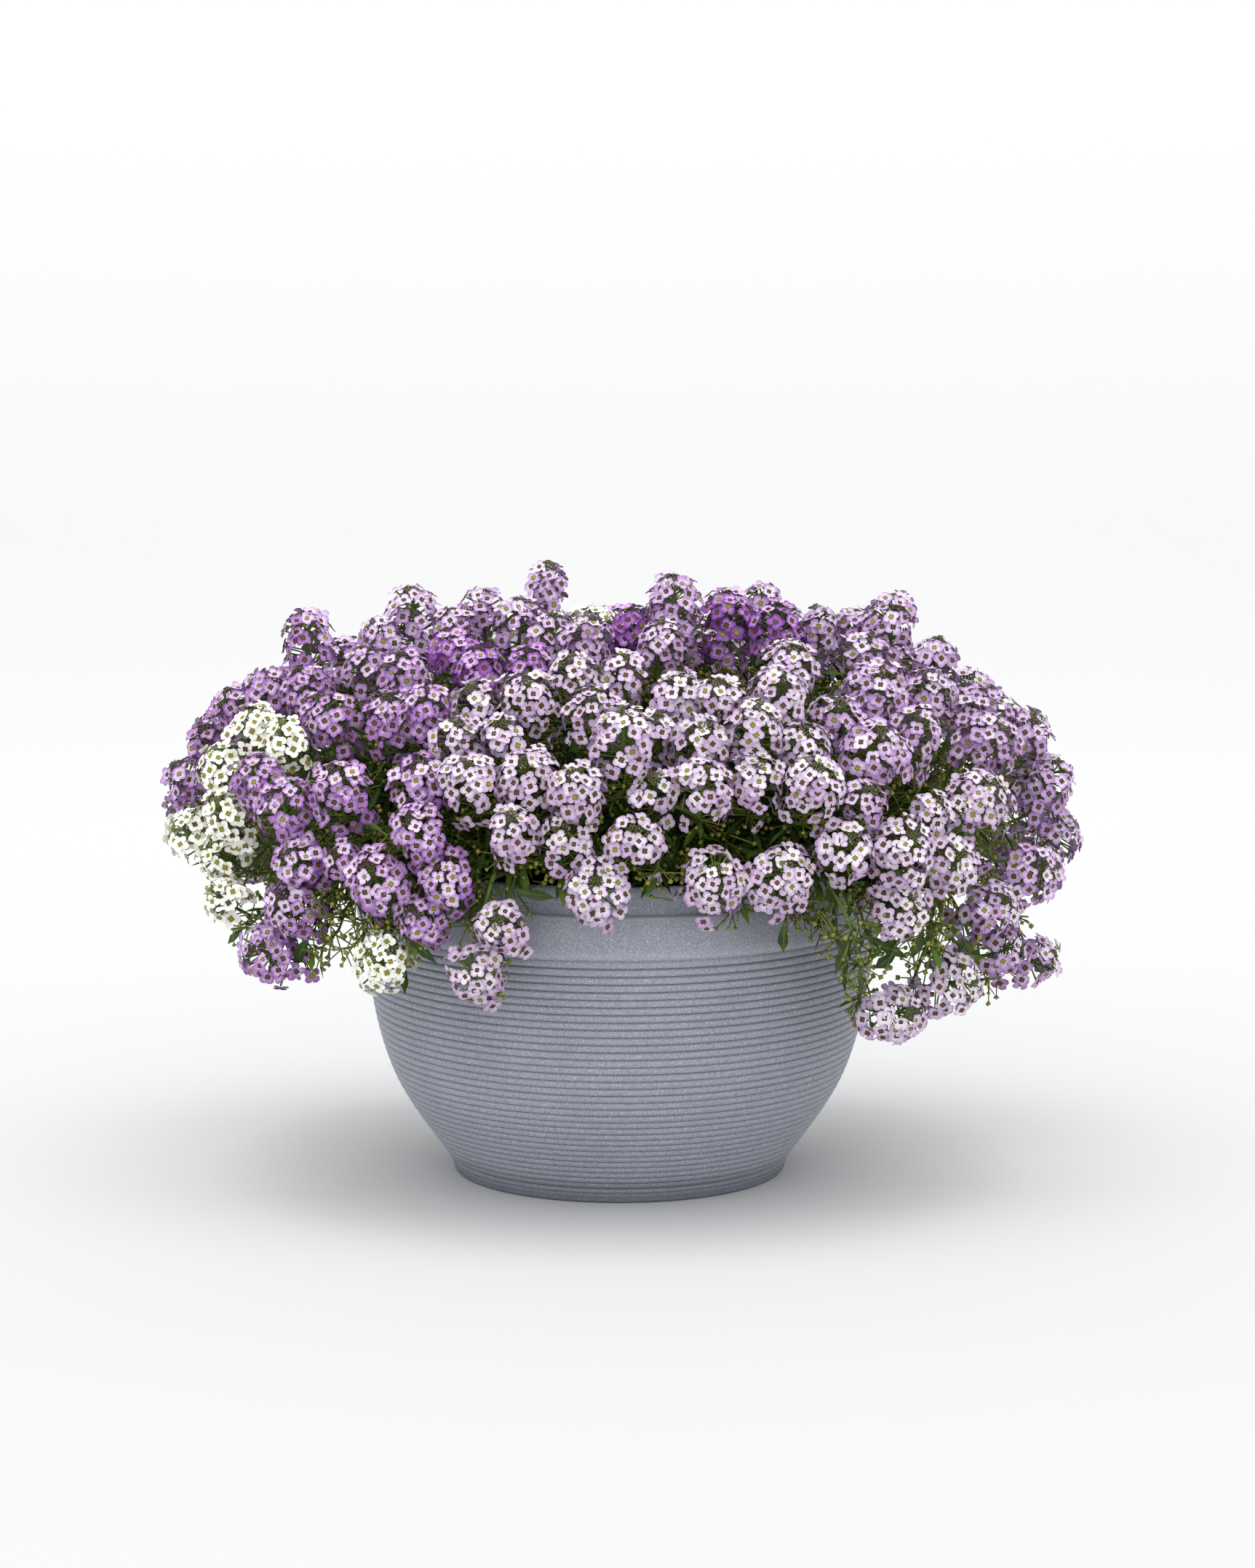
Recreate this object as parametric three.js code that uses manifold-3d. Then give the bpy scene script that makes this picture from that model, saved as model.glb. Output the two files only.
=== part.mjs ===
// Sweet alyssum in a ribbed bowl pot, in millimetres, +Z up, origin at the centre of the pot's flat
// underside. A low plastic bowl holds potting soil. Stems rise from three crowns in the soil into one leafy
// mound, and flower heads cover the mound: each head is a dome or a short column packed with four-petalled
// florets.
import * as THREE from "three";
import { mergeVertices } from "three/addons/utils/BufferGeometryUtils.js";
import Module from "manifold-3d";

const wasm = await Module();
wasm.setup();

// ---------------------------------------------------------------- driving dimensions
const POT = {
  rimRadius: 127, // a 10 inch bowl
  bandBottom: 126.5,
  bandTop: 146.8,
  collarRadius: 124,
  height: 160.5,
  wall: 2.6,
  footRadius: 80.5,
  footTop: 7.2,
  floorTop: 5,
  recess: 2, // how far the underside is raised between its pad and its foot ring
  padRadius: 20,
  recessRadius: 72,
  sides: 22,
  ribs: 13,
  ribDepth: 1.2,
};
const LUG = { turn: -114.5, width: 15, thickness: 0.7, drop: 2.5 }; // a flat pad on the collar, left of front
const DRAIN = { holes: 5, radius: 4.5, circle: 46 };
const SOIL = { top: 149, gap: 0.4, crownDepth: 26 };
const CROWNS = [
  { at: [62, -14], radius: 6 },
  { at: [-48, -34], radius: 6 },
  { at: [-12, 52], radius: 6 },
];
// Half-axes of the mound that the centres of the heads lie on: up and down from its widest level, and up at
// its back. It is squarer than an ellipsoid, and its front heads stand no further back than its crest.
const MOUND = { x: 208, y: 154, up: 112, back: 94, down: 105, level: 162, power: 2.5, crest: -18 };
// The leafy core of the bush, which stems and leaves stand out of, and its plug down to the soil.
const CORE = { x: 152, y: 112, level: 174, up: 58, down: 11, sides: 16, relief: 0.15, plugRadius: 108 };
// The core's rings of leaf tips, from its underside to its crown: [share of its width, share of its height].
const CORE_RINGS = [[0.86, -1], [1, -0.2], [0.95, 0.32], [0.79, 0.62], [0.54, 0.84], [0.26, 0.97]];
const CLEARANCE = 0.4; // between pieces that touch

// Florets stand in rows round a head, from one share of the way from its crown to its foot, to another. The
// rest are shares of the head's size, and touch is the radius kept free where two heads of a spray grow
// together.
const FLORET = {
  round: 5,
  roundSmall: 4, // on heads slimmer than small
  small: 11,
  slender: 1.3, // a head longer than this for its width has one row more
  from: 0.17,
  to: 0.76,
  eye: 0.83,
  crown: 0.94,
  underside: 0.72,
  touch: 5,
};
const STEM = {
  radius: 1.5,
  neck: 7, // the straight stretch under a head
  foot: 0.8, // how far out in the core a stem starts, as a share of it
  root: 45, // and how much deeper it is rooted
  overRim: 134, // where a trailing stem passes the pot's rim, and by how much it clears it
  rimGap: 8,
  skew: 0.6,
  stray: 0.008,
  attempts: 200,
  far: 140, // heads further away than this are in no stem's way
};
const LEAF = {
  length: 27,
  width: 6.5,
  thickness: 1.8,
  belly: 0.56,
  bend: 0.14,
  count: 84,
  onStem: 1,
  rimGap: 6,
};
// A short head leans out of the mound and a tall one stands up. Heads below the rim hang, more so the lower.
const LEAN = {
  least: 0.45,
  usual: 0.55,
  forLength: 1.6,
  most: 1.6,
  hanging: 0.1,
  hangsAt: 95,
  standsAt: 155,
};

const TONES = {
  pale: 0xdccbe4,
  lilac: 0xc3a0d2,
  violet: 0xa077bd,
  purple: 0x7c3f9e,
  white: 0xf1f2ea,
};

// ---------------------------------------------------------------- flower sprays The mound is set out as it
// is seen from this eye point, which looks at the aim point. A head is given as [across, up, radius,
// length]: where its line of sight crosses the upright plane through the aim, and its size.
const EYE = new THREE.Vector3(4, -2665, 621);
const AIM = new THREE.Vector3(4, 0, 189);
const AIM_UP = 186; // the aim's own height in that plane, measured from the pot's foot
const SIGHT = { from: 2400, to: 3000, step: 2 }; // the stretch of a line of sight that can meet the mound

const FRONT_SPRAYS = [
  {
    tone: "violet",
    heads: [
      [-149, 256, 11.5, 36], [-152, 229, 12.5, 26], [-140, 214, 13, 28], [-169, 230, 12, 24],
      [-187, 222, 10.5, 21],
    ],
  },
  { tone: "violet", heads: [[-199, 205, 10, 20], [-208, 189, 10.5, 23]] },
  {
    tone: "white",
    heads: [
      [-160, 207, 10.5, 20], [-177, 212, 12, 23], [-191, 193, 11.5, 26], [-190, 171, 11, 22],
    ],
  },
  { tone: "violet", heads: [[-174, 188, 12.5, 25], [-161, 173, 13.5, 28], [-135, 183, 13.5, 28]] },
  { tone: "violet", heads: [[-94, 187, 13, 26], [-97, 165, 12, 24]] },
  { tone: "white", heads: [[-208, 163, 12, 24], [-188, 149, 12.5, 24], [-190, 130, 11, 23]] },
  {
    tone: "violet",
    heads: [
      [-156, 149, 11, 20], [-158, 128, 13, 26], [-169, 104, 14, 27], [-133, 149, 9, 17],
      [-117, 140, 14, 30],
    ],
  },
  { tone: "violet", heads: [[-84, 140, 12.5, 24], [-97, 121, 10, 20]] },
  { tone: "white", heads: [[-115, 101, 12.5, 24]] },
  {
    tone: "lilac",
    heads: [
      [-116, 255, 9.5, 26], [-124, 240, 10.5, 24], [-97, 266, 12, 34], [-80, 261, 9, 22],
    ],
  },
  { tone: "violet", heads: [[-104, 240, 11.5, 23], [-109, 217, 12.5, 27], [-92, 222, 11, 22]] },
  { tone: "purple", heads: [[-80, 248, 12, 26], [-67, 240, 12, 26], [-43, 242, 11, 22]] },
  {
    tone: "lilac",
    heads: [
      [-67, 269, 10, 24], [-50, 262, 11.5, 28], [-34, 279, 9.5, 32], [-31, 257, 11, 24],
      [-16, 256, 11, 24],
    ],
  },
  {
    tone: "pale",
    heads: [
      [-46, 226, 13.5, 26], [-71, 224, 11, 22], [-78, 206, 11, 22], [-57, 208, 10, 18],
    ],
  },
  { tone: "pale", heads: [[-25, 237, 11.5, 25], [-12, 219, 13, 28], [3, 239, 11, 22]] },
  { tone: "purple", heads: [[5, 261, 10, 23]] },
  { tone: "lilac", heads: [[27, 272, 13, 36], [19, 251, 11.5, 24]] },
  { tone: "purple", heads: [[53, 267, 12, 28], [77, 261, 12.5, 26]] },
  { tone: "lilac", heads: [[67, 273, 9, 20]] },
  { tone: "pale", heads: [[4, 205, 14, 34], [19, 211, 10, 20], [17, 186, 10.5, 19], [40, 186, 12.5, 24]] },
  {
    tone: "pale",
    heads: [
      [30, 227, 13.5, 26], [48, 226, 10.5, 19], [56, 211, 12.5, 25], [38, 205, 12, 24],
    ],
  },
  { tone: "pale", heads: [[-73, 189, 12.5, 24], [-44, 188, 14.5, 29], [-50, 165, 11, 24]] },
  {
    tone: "pale",
    heads: [
      [-23, 182, 12.5, 26], [-27, 159, 12.5, 25], [-13, 132, 14.5, 28], [9, 160, 13, 25],
    ],
  },
  { tone: "pale", heads: [[-56, 120, 11.5, 23], [-71, 93, 12.5, 26]] },
  { tone: "pale", heads: [[46, 139, 14.5, 30], [76, 140, 15.5, 32]] },
  { tone: "pale", heads: [[82, 243, 13.5, 24], [78, 226, 14.5, 27], [63, 214, 12.5, 24]] },
  {
    tone: "lilac",
    heads: [
      [132, 263, 13, 34], [118, 246, 11.5, 23], [111, 260, 10.5, 23], [98, 261, 9.5, 22],
    ],
  },
  { tone: "lilac", heads: [[151, 246, 10.5, 28], [150, 227, 11.5, 24]] },
  {
    tone: "lilac",
    heads: [
      [126, 230, 15.5, 30], [141, 212, 12, 24], [105, 216, 11.5, 22], [123, 200, 15.5, 30],
      [119, 180, 10, 18],
    ],
  },
  { tone: "pale", heads: [[88, 205, 12.5, 22], [92, 187, 13.5, 27], [68, 188, 12.5, 24]] },
  {
    tone: "lilac",
    heads: [
      [174, 225, 14, 22], [178, 206, 14.5, 28], [200, 207, 11.5, 23], [205, 187, 14, 29],
      [209, 162, 13, 27],
    ],
  },
  { tone: "pale", heads: [[173, 177, 15, 31], [150, 170, 10.5, 20]] },
  {
    tone: "pale",
    heads: [
      [112, 156, 13.5, 25], [135, 154, 14.5, 28], [158, 147, 13.5, 28], [136, 127, 14, 24],
    ],
  },
  {
    tone: "lilac",
    heads: [
      [200, 143, 14.5, 28], [178, 125, 13.5, 26], [184, 105, 12.5, 23], [201, 101, 12, 26],
    ],
  },
  { tone: "pale", heads: [[160, 90, 14.5, 29], [134, 76, 14.5, 30]] },
];

// The back of the mound, in bands of two rows, each cut into sprays of neighbours. A row is [rise above the
// widest level in degrees, heads], with a sweep of its own where it doesn't go all the way round.
const BACK_BANDS = [
  { sprays: 7, rows: [[-12, 15, [12, 152]], [7, 16]] },
  { sprays: 7, rows: [[24, 16], [40, 14]] },
  { sprays: 5, rows: [[54, 10], [67, 8]] },
  { sprays: 2, rows: [[79, 6], [90, 2]] },
];
const BACK_TONES = ["violet", "lilac", "pale", "lilac", "purple", "violet", "pale", "white"];
const BACK_RADIUS = [12.5, 16];
const BACK_LENGTH = [1.9, 2.2]; // for a radius of one
const BACK_SCATTER = { along: 0.6, rise: 13 }; // of a head's spacing in its row, and in degrees
const BACK_SWEEP = [7, 173]; // from the mound's right side round its back to its left side, in degrees

// A seeded source of even random numbers from 0 to 1.
function seeded(seed) {
  let state = seed >>> 0;
  return () => {
    state = (state + 0x6d2b79f5) >>> 0;
    let t = state;
    t = Math.imul(t ^ (t >>> 15), t | 1);
    t ^= t + Math.imul(t ^ (t >>> 7), t | 61);
    return ((t ^ (t >>> 14)) >>> 0) / 4294967296;
  };
}

const VIEW = AIM.clone().sub(EYE).normalize();

// How far out from the mound's middle a point lies: 1 is on its surface.
function moundShare(p) {
  const high = (p.z - MOUND.level) / (p.z < MOUND.level ? MOUND.down : MOUND.up);
  return [p.x / MOUND.x, p.y / MOUND.y, high].reduce((sum, part) => sum + Math.abs(part) ** MOUND.power, 0);
}

// Where a line of sight first meets the mound, or comes nearest to it in front of the crest.
function onMound(across, up) {
  const target = AIM.clone().add(new THREE.Vector3(across - AIM.x, 0, 0));
  target.addScaledVector(new THREE.Vector3(0, -VIEW.z, VIEW.y), up - AIM_UP);
  const line = target.sub(EYE).normalize();
  let best = null;
  let least = Infinity;
  for (let along = SIGHT.from; along < SIGHT.to; along += SIGHT.step) {
    const p = EYE.clone().addScaledVector(line, along);
    const share = moundShare(p);
    if (share < least) {
      least = share;
      best = p;
    }
    if (share <= 1 || (p.y > MOUND.crest && p.z > MOUND.level)) break;
  }
  return best;
}

function headAt(place, radius, length, spray) {
  return { place, home: place.clone(), radius, half: length / 2, spray };
}

function frontHeads() {
  return FRONT_SPRAYS.flatMap(({ heads }, spray) =>
    heads.map(([across, up, radius, length]) => headAt(onMound(across, up), radius, length, spray)),
  );
}

function backHeads(firstSpray) {
  const random = seeded(11);
  const made = [];
  let spray = firstSpray;
  for (const band of BACK_BANDS) {
    for (const [rise, count, sweep = BACK_SWEEP] of band.rows)
      for (let i = 0; i < count; i++) {
        const share = (i + 0.5 + (random() - 0.5) * BACK_SCATTER.along) / count;
        const turn = THREE.MathUtils.degToRad(THREE.MathUtils.lerp(...sweep, share));
        const lift = THREE.MathUtils.degToRad(rise + (random() - 0.5) * BACK_SCATTER.rise);
        const radius = THREE.MathUtils.lerp(...BACK_RADIUS, random());
        const length = radius * THREE.MathUtils.lerp(...BACK_LENGTH, random());
        const out = [Math.cos(turn) * Math.cos(lift), Math.sin(turn) * Math.cos(lift), Math.sin(lift)];
        const size = out.reduce((sum, part) => sum + Math.abs(part) ** MOUND.power, 0) ** (-1 / MOUND.power);
        const high = lift < 0 ? MOUND.down : MOUND.back;
        const place = new THREE.Vector3(MOUND.x * out[0], MOUND.y * out[1], high * out[2]);
        place.multiplyScalar(size);
        place.z += MOUND.level;
        made.push(headAt(place, radius, length, spray + Math.floor(share * band.sprays)));
      }
    spray += band.sprays;
  }
  return made;
}

// A head points out of the mound and up, more so the taller it is, and hardly at all where it trails.
function axisOf(head) {
  const { place } = head;
  const out = new THREE.Vector3(
    place.x / MOUND.x ** 2,
    place.y / MOUND.y ** 2,
    Math.max(place.z - MOUND.level, 0) / MOUND.up ** 2,
  ).normalize();
  const wanted = LEAN.usual + (head.half / head.radius - 1) * LEAN.forLength;
  const upright = THREE.MathUtils.clamp(wanted, LEAN.least, LEAN.most);
  const standing = THREE.MathUtils.clamp((place.z - LEAN.hangsAt) / (LEAN.standsAt - LEAN.hangsAt), 0, 1);
  return out.add(new THREE.Vector3(0, 0, THREE.MathUtils.lerp(LEAN.hanging, upright, standing))).normalize();
}

// How far a head reaches along a direction: to the plane square to it that no part of the head passes.
function reach(head, direction) {
  const along = direction.dot(head.axis) ** 2;
  return Math.sqrt(along * head.half ** 2 + (1 - along) * head.radius ** 2);
}

// How the heads are nudged: each pass moves two that meet, or two partners, most of the way to touching, and
// draws every head a little towards the place it was given, least of all along the line of sight.
const RELAX = {
  passes: 240,
  gap: 0.5,
  share: 0.45,
  homing: 0.08,
  freeInDepth: 0.85,
  potGap: 6,
  rimGap: 2,
  near: 60,
};

// Moves the heads a little, so that all stand just clear of each other and of the pot, and each is drawn up
// to its partner, the nearest head of its spray before it.
function settle(heads) {
  heads.forEach((head, i) => {
    const own = heads.slice(0, i).filter((other) => other.spray === head.spray);
    head.partner = own.sort((a, b) => a.home.distanceTo(head.home) - b.home.distanceTo(head.home))[0];
  });
  const between = new THREE.Vector3();
  for (let pass = 0; pass < RELAX.passes; pass++) {
    for (const head of heads) head.axis = axisOf(head);
    for (let i = 1; i < heads.length; i++)
      for (let j = 0; j < i; j++) {
        const [a, b] = [heads[i], heads[j]];
        between.subVectors(a.place, b.place);
        const distance = between.length();
        if (distance > RELAX.near && a.partner !== b) continue;
        between.divideScalar(distance);
        const wanted = reach(a, between) + reach(b, between) + RELAX.gap;
        if (distance > wanted && a.partner !== b) continue;
        const move = (wanted - distance) * RELAX.share;
        a.place.addScaledVector(between, move);
        b.place.addScaledVector(between, -move);
      }
    for (const head of heads) {
      const back = head.home.clone().sub(head.place);
      back.addScaledVector(VIEW, -RELAX.freeInDepth * back.dot(VIEW));
      head.place.addScaledVector(back, RELAX.homing * (1 - pass / RELAX.passes));
      const clear = POT.rimRadius + head.radius + RELAX.potGap;
      const outward = Math.hypot(head.place.x, head.place.y);
      if (head.place.z < POT.height + head.radius + RELAX.rimGap && outward < clear) {
        head.place.x *= clear / outward;
        head.place.y *= clear / outward;
      }
    }
  }
  for (const head of heads) head.axis = axisOf(head);
  return heads;
}

// ---------------------------------------------------------------- solids
function solidOf(geometry) {
  const bare = new THREE.BufferGeometry().setAttribute("position", geometry.getAttribute("position"));
  bare.setIndex(geometry.index);
  const merged = mergeVertices(bare, 1e-4);
  return new wasm.Manifold(
    new wasm.Mesh({
      numProp: 3,
      vertProperties: new Float32Array(merged.attributes.position.array),
      triVerts: new Uint32Array(merged.index.array),
    }),
  );
}

function geometryOf(solid) {
  const mesh = solid.getMesh();
  const geometry = new THREE.BufferGeometry();
  geometry.setAttribute("position", new THREE.BufferAttribute(mesh.vertProperties, 3));
  geometry.setIndex(new THREE.BufferAttribute(mesh.triVerts, 1));
  return geometry;
}

const joined = (solids) => solids.reduce((whole, next) => whole.add(next));

function meshOf(name, solid, material) {
  const mesh = new THREE.Mesh(geometryOf(solid), material);
  mesh.name = name;
  return mesh;
}

function indexed(points, faces) {
  const geometry = new THREE.BufferGeometry();
  geometry.setAttribute("position", new THREE.Float32BufferAttribute(points.flatMap((p) => p.toArray()), 3));
  geometry.setIndex(faces.flat());
  return geometry;
}

// Two directions square to an axis.
function sidesOf(axis) {
  const helper = Math.abs(axis.z) < 0.9 ? new THREE.Vector3(0, 0, 1) : new THREE.Vector3(1, 0, 0);
  const side = new THREE.Vector3().crossVectors(helper, axis).normalize();
  return [side, new THREE.Vector3().crossVectors(axis, side)];
}

// A straight rod with flat ends, wider at its foot.
function rod(from, to, footRadius, tipRadius, sides) {
  const axis = to.clone().sub(from).normalize();
  const [side, across] = sidesOf(axis);
  const ring = (centre, radius) =>
    Array.from({ length: sides }, (_, i) => {
      const turn = (2 * Math.PI * i) / sides;
      return centre
        .clone()
        .addScaledVector(side, radius * Math.cos(turn))
        .addScaledVector(across, radius * Math.sin(turn));
    });
  const faces = [];
  for (let i = 0; i < sides; i++) {
    const next = (i + 1) % sides;
    faces.push([i, next, sides + next], [i, sides + next, sides + i]);
  }
  for (let i = 1; i < sides - 1; i++) faces.push([0, i + 1, i], [sides, sides + i, sides + i + 1]);
  return solidOf(indexed([...ring(from, footRadius), ...ring(to, tipRadius)], faces));
}

// A slender three-sided stem through a list of points, pointed at its root, and flat and square to the end
// direction at its tip.
function stemThrough(path, end) {
  const points = [path[0].clone()];
  let [side] = sidesOf(path[1].clone().sub(path[0]).normalize());
  path.slice(1).forEach((at, i) => {
    const along = i + 2 < path.length ? path[i + 2].clone().sub(path[i]).normalize() : end;
    side = side.clone().addScaledVector(along, -side.dot(along)).normalize();
    const across = new THREE.Vector3().crossVectors(along, side);
    for (let k = 0; k < 3; k++) {
      const turn = (2 * Math.PI * k) / 3;
      const edge = at.clone().addScaledVector(side, STEM.radius * Math.cos(turn));
      points.push(edge.addScaledVector(across, STEM.radius * Math.sin(turn)));
    }
  });
  const faces = [];
  for (let k = 0; k < 3; k++) {
    const next = (k + 1) % 3;
    faces.push([0, 1 + next, 1 + k]);
    for (let a = 1; a < points.length - 3; a += 3) {
      faces.push([a + k, a + next, a + next + 3]);
      faces.push([a + k, a + next + 3, a + k + 3]);
    }
  }
  const last = points.length - 3;
  faces.push([last, last + 1, last + 2]);
  return solidOf(indexed(points, faces));
}

// A lance-shaped leaf, pointed at both ends, widest past its middle and bent down at the tip, with a keeled
// top.
function leafBlade(foot, direction, length, lie) {
  const side = new THREE.Vector3().crossVectors(direction, lie).normalize();
  const face = new THREE.Vector3().crossVectors(side, direction).normalize();
  const belly = foot.clone().addScaledVector(direction, length * LEAF.belly);
  const points = [
    foot.clone(),
    foot.clone().addScaledVector(direction, length).addScaledVector(face, -length * LEAF.bend),
    belly.clone().addScaledVector(side, LEAF.width / 2),
    belly.clone().addScaledVector(face, LEAF.thickness),
    belly.clone().addScaledVector(side, -LEAF.width / 2),
  ];
  return solidOf(indexed(points, [[0, 2, 3], [0, 3, 4], [0, 4, 2], [1, 3, 2], [1, 4, 3], [1, 2, 4]]));
}

// ---------------------------------------------------------------- pot
// The bowl's outer curve, from the top of its foot to the rim band.
const BOWL = [
  [82.3, 7.2], [92.8, 21.6], [102.6, 36.1], [110.2, 50.5],
  [116.6, 69.8], [121.2, 92.3], [124.4, 110], [125.6, 126.5],
];
const BOWL_CURVE = new THREE.SplineCurve(BOWL.map(([radius, height]) => new THREE.Vector2(radius, height)));

// Rounded ribs run round the bowl: the profile steps in at each groove and out at each crest.
function ribbedProfile() {
  const points = [];
  for (let i = 0; i < POT.ribs; i++) {
    const crest = BOWL_CURVE.getPointAt((i + 0.42) / POT.ribs);
    const groove = BOWL_CURVE.getPointAt((i + 1) / POT.ribs);
    const tangent = BOWL_CURVE.getTangentAt((i + 1) / POT.ribs);
    points.push(crest);
    points.push(groove.add(new THREE.Vector2(-tangent.y, tangent.x).multiplyScalar(POT.ribDepth)));
  }
  return points;
}

// The inner wall, from the floor up: the outer curve, one wall thickness in.
function innerProfile(inset) {
  return [0.04, 0.3, 0.62].map((share) => {
    const point = BOWL_CURVE.getPointAt(share);
    const tangent = BOWL_CURVE.getTangentAt(share);
    const inward = new THREE.Vector2(-tangent.y, tangent.x);
    return point.addScaledVector(inward, POT.wall + POT.ribDepth + inset);
  });
}

function turned(profile) {
  const lathe = (points) => solidOf(new THREE.LatheGeometry(points, POT.sides).rotateX(Math.PI / 2));
  const solid = lathe(profile);
  return solid.volume() > 0 ? solid : lathe([...profile].reverse());
}

function potSolid() {
  const v = (radius, height) => new THREE.Vector2(radius, height);
  const inner = innerProfile(0);
  const profile = [
    v(0, 0),
    v(POT.padRadius, 0),
    v(POT.padRadius + 2, POT.recess),
    v(POT.recessRadius - 2, POT.recess),
    v(POT.recessRadius, 0),
    v(POT.footRadius, 0),
    v(POT.footRadius + 0.8, POT.footTop - 1),
    ...ribbedProfile(),
    v(POT.rimRadius, POT.bandBottom + 3),
    v(POT.rimRadius, POT.bandTop),
    v(POT.collarRadius, POT.bandTop + 0.4),
    v(POT.collarRadius - 0.3, POT.height),
    v(POT.collarRadius - POT.wall, POT.height),
    v(POT.collarRadius - POT.wall - 0.4, POT.bandBottom + 2),
    ...inner.reverse(),
    v(inner[inner.length - 1].x - 4, POT.floorTop),
    v(0, POT.floorTop),
  ];
  let pot = turned(profile).add(lugSolid());
  for (let i = 0; i < DRAIN.holes; i++) {
    const turn = (2 * Math.PI * i) / DRAIN.holes;
    const below = new THREE.Vector3(DRAIN.circle * Math.cos(turn), DRAIN.circle * Math.sin(turn), -1);
    const above = below.clone().setZ(POT.floorTop + 1);
    pot = pot.subtract(rod(below, above, DRAIN.radius, DRAIN.radius, 6));
  }
  return pot;
}

// The pad stands on the collar, rooted half way into its wall.
function lugSolid() {
  const top = POT.height - LUG.drop;
  const depth = LUG.thickness + POT.wall / 2;
  const pad = new THREE.BoxGeometry(depth, LUG.width, top - POT.bandTop + 0.5);
  const flat = POT.collarRadius * Math.cos(Math.PI / POT.sides);
  pad.translate(flat + LUG.thickness - depth / 2, 0, (top + POT.bandTop - 0.5) / 2);
  return solidOf(pad.rotateZ(THREE.MathUtils.degToRad(LUG.turn)));
}

// ---------------------------------------------------------------- soil
// The foot of one crown: a bundle of stems in the hole that it stands in.
function crownRod(crown, extra) {
  const [x, y] = crown.at;
  const foot = new THREE.Vector3(x, y, SOIL.top - SOIL.crownDepth - extra);
  const top = new THREE.Vector3(x, y, POT.height + 2);
  return rod(foot, top, crown.radius + extra, crown.radius + extra, 6);
}

function soilSolid() {
  const v = (radius, height) => new THREE.Vector2(radius, height);
  const wall = innerProfile(SOIL.gap);
  const edge = POT.collarRadius - POT.wall - 0.4 - SOIL.gap;
  const profile = [
    v(0, POT.floorTop + SOIL.gap),
    v(wall[0].x - 4.6, POT.floorTop + SOIL.gap),
    ...wall,
    v(edge, POT.bandBottom + 2),
    v(edge, SOIL.top - 2),
    v(0, SOIL.top),
  ];
  return CROWNS.reduce((soil, crown) => soil.subtract(crownRod(crown, CLEARANCE)), turned(profile));
}

// ---------------------------------------------------------------- flower heads A head is a closed dome of
// florets raised from its surface, set in a spiral. Each floret is a cell with a sunken eye, and its petals
// rise to the cell's four corners.
function headMesh(head) {
  const rows = head.half > head.radius * FLORET.slender ? 3 : 2;
  const round = head.radius < FLORET.small ? FLORET.roundSmall : FLORET.round;
  const [side, across] = sidesOf(head.axis);
  const point = (row, column, relief) => {
    const polar = THREE.MathUtils.lerp(FLORET.from, FLORET.to, row / rows) * Math.PI;
    const turn = (2 * Math.PI * (column + row / 2)) / round + head.twist;
    return head.place
      .clone()
      .addScaledVector(side, head.radius * Math.sin(polar) * relief * Math.cos(turn))
      .addScaledVector(across, head.radius * Math.sin(polar) * relief * Math.sin(turn))
      .addScaledVector(head.axis, head.half * Math.cos(polar) * relief);
  };
  const points = [];
  for (let row = 0; row <= rows; row++)
    for (let column = 0; column < round; column++) points.push(point(row, column, 1));
  const corner = (row, column) => row * round + (column % round);
  const along = (share) => head.place.clone().addScaledVector(head.axis, head.half * share);
  const top = points.push(along(FLORET.crown)) - 1;
  const bottom = points.push(along(-FLORET.underside)) - 1;
  const faces = [];
  for (let column = 0; column < round; column++) {
    faces.push([top, corner(0, column), corner(0, column + 1)]);
    faces.push([bottom, corner(rows, column + 1), corner(rows, column)]);
    for (let row = 0; row < rows; row++) {
      const eye = points.push(point(row + 0.5, column + 0.5, FLORET.eye)) - 1;
      const [a, b] = [corner(row, column), corner(row, column + 1)];
      const [c, d] = [corner(row + 1, column + 1), corner(row + 1, column)];
      faces.push([eye, b, a], [eye, c, b], [eye, d, c], [eye, a, d]);
    }
  }
  return { points, faces };
}

// The heads of a spray touch: where two face each other, a petal of one grows together with a petal of the
// other.
function sprayGeometry(own) {
  const points = [];
  let faces = [];
  own.forEach((head) => {
    const mesh = headMesh(head);
    const first = points.length;
    points.push(...mesh.points);
    faces.push(...mesh.faces.map((face) => ({ head, corners: face.map((corner) => corner + first) })));
  });
  const middle = ({ corners: [a, b, c] }) => points[a].clone().add(points[b]).add(points[c]).divideScalar(3);
  for (const head of own.filter(({ partner }) => partner)) {
    const ours = faces.filter((face) => face.head === head);
    const theirs = faces.filter((face) => face.head === head.partner);
    let best = { distance: Infinity };
    for (const a of ours)
      for (const b of theirs) {
        const distance = middle(a).distanceTo(middle(b));
        if (distance < best.distance) best = { distance, a, b };
      }
    faces = faces.filter((face) => face !== best.a && face !== best.b);
    faces.push(...bridge(points, best.a.corners, best.b.corners).map((corners) => ({ head: null, corners })));
  }
  return indexed(points, faces.map(({ corners }) => corners));
}

// The six faces that join the outlines of two facing triangles, matched where they twist least.
function bridge(points, from, to) {
  const pairing = (shift) => [0, 1, 2].map((i) => to[(shift + 3 - i) % 3]);
  const apart = (corner, i) => points[corner].distanceTo(points[from[i]]);
  const length = (pair) => pair.reduce((sum, corner, i) => sum + apart(corner, i), 0);
  const pair = [0, 1, 2].map(pairing).sort((a, b) => length(a) - length(b))[0];
  return [0, 1, 2].flatMap((i) => {
    const next = (i + 1) % 3;
    return [
      [from[i], from[next], pair[next]],
      [from[i], pair[next], pair[i]],
    ];
  });
}

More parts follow.
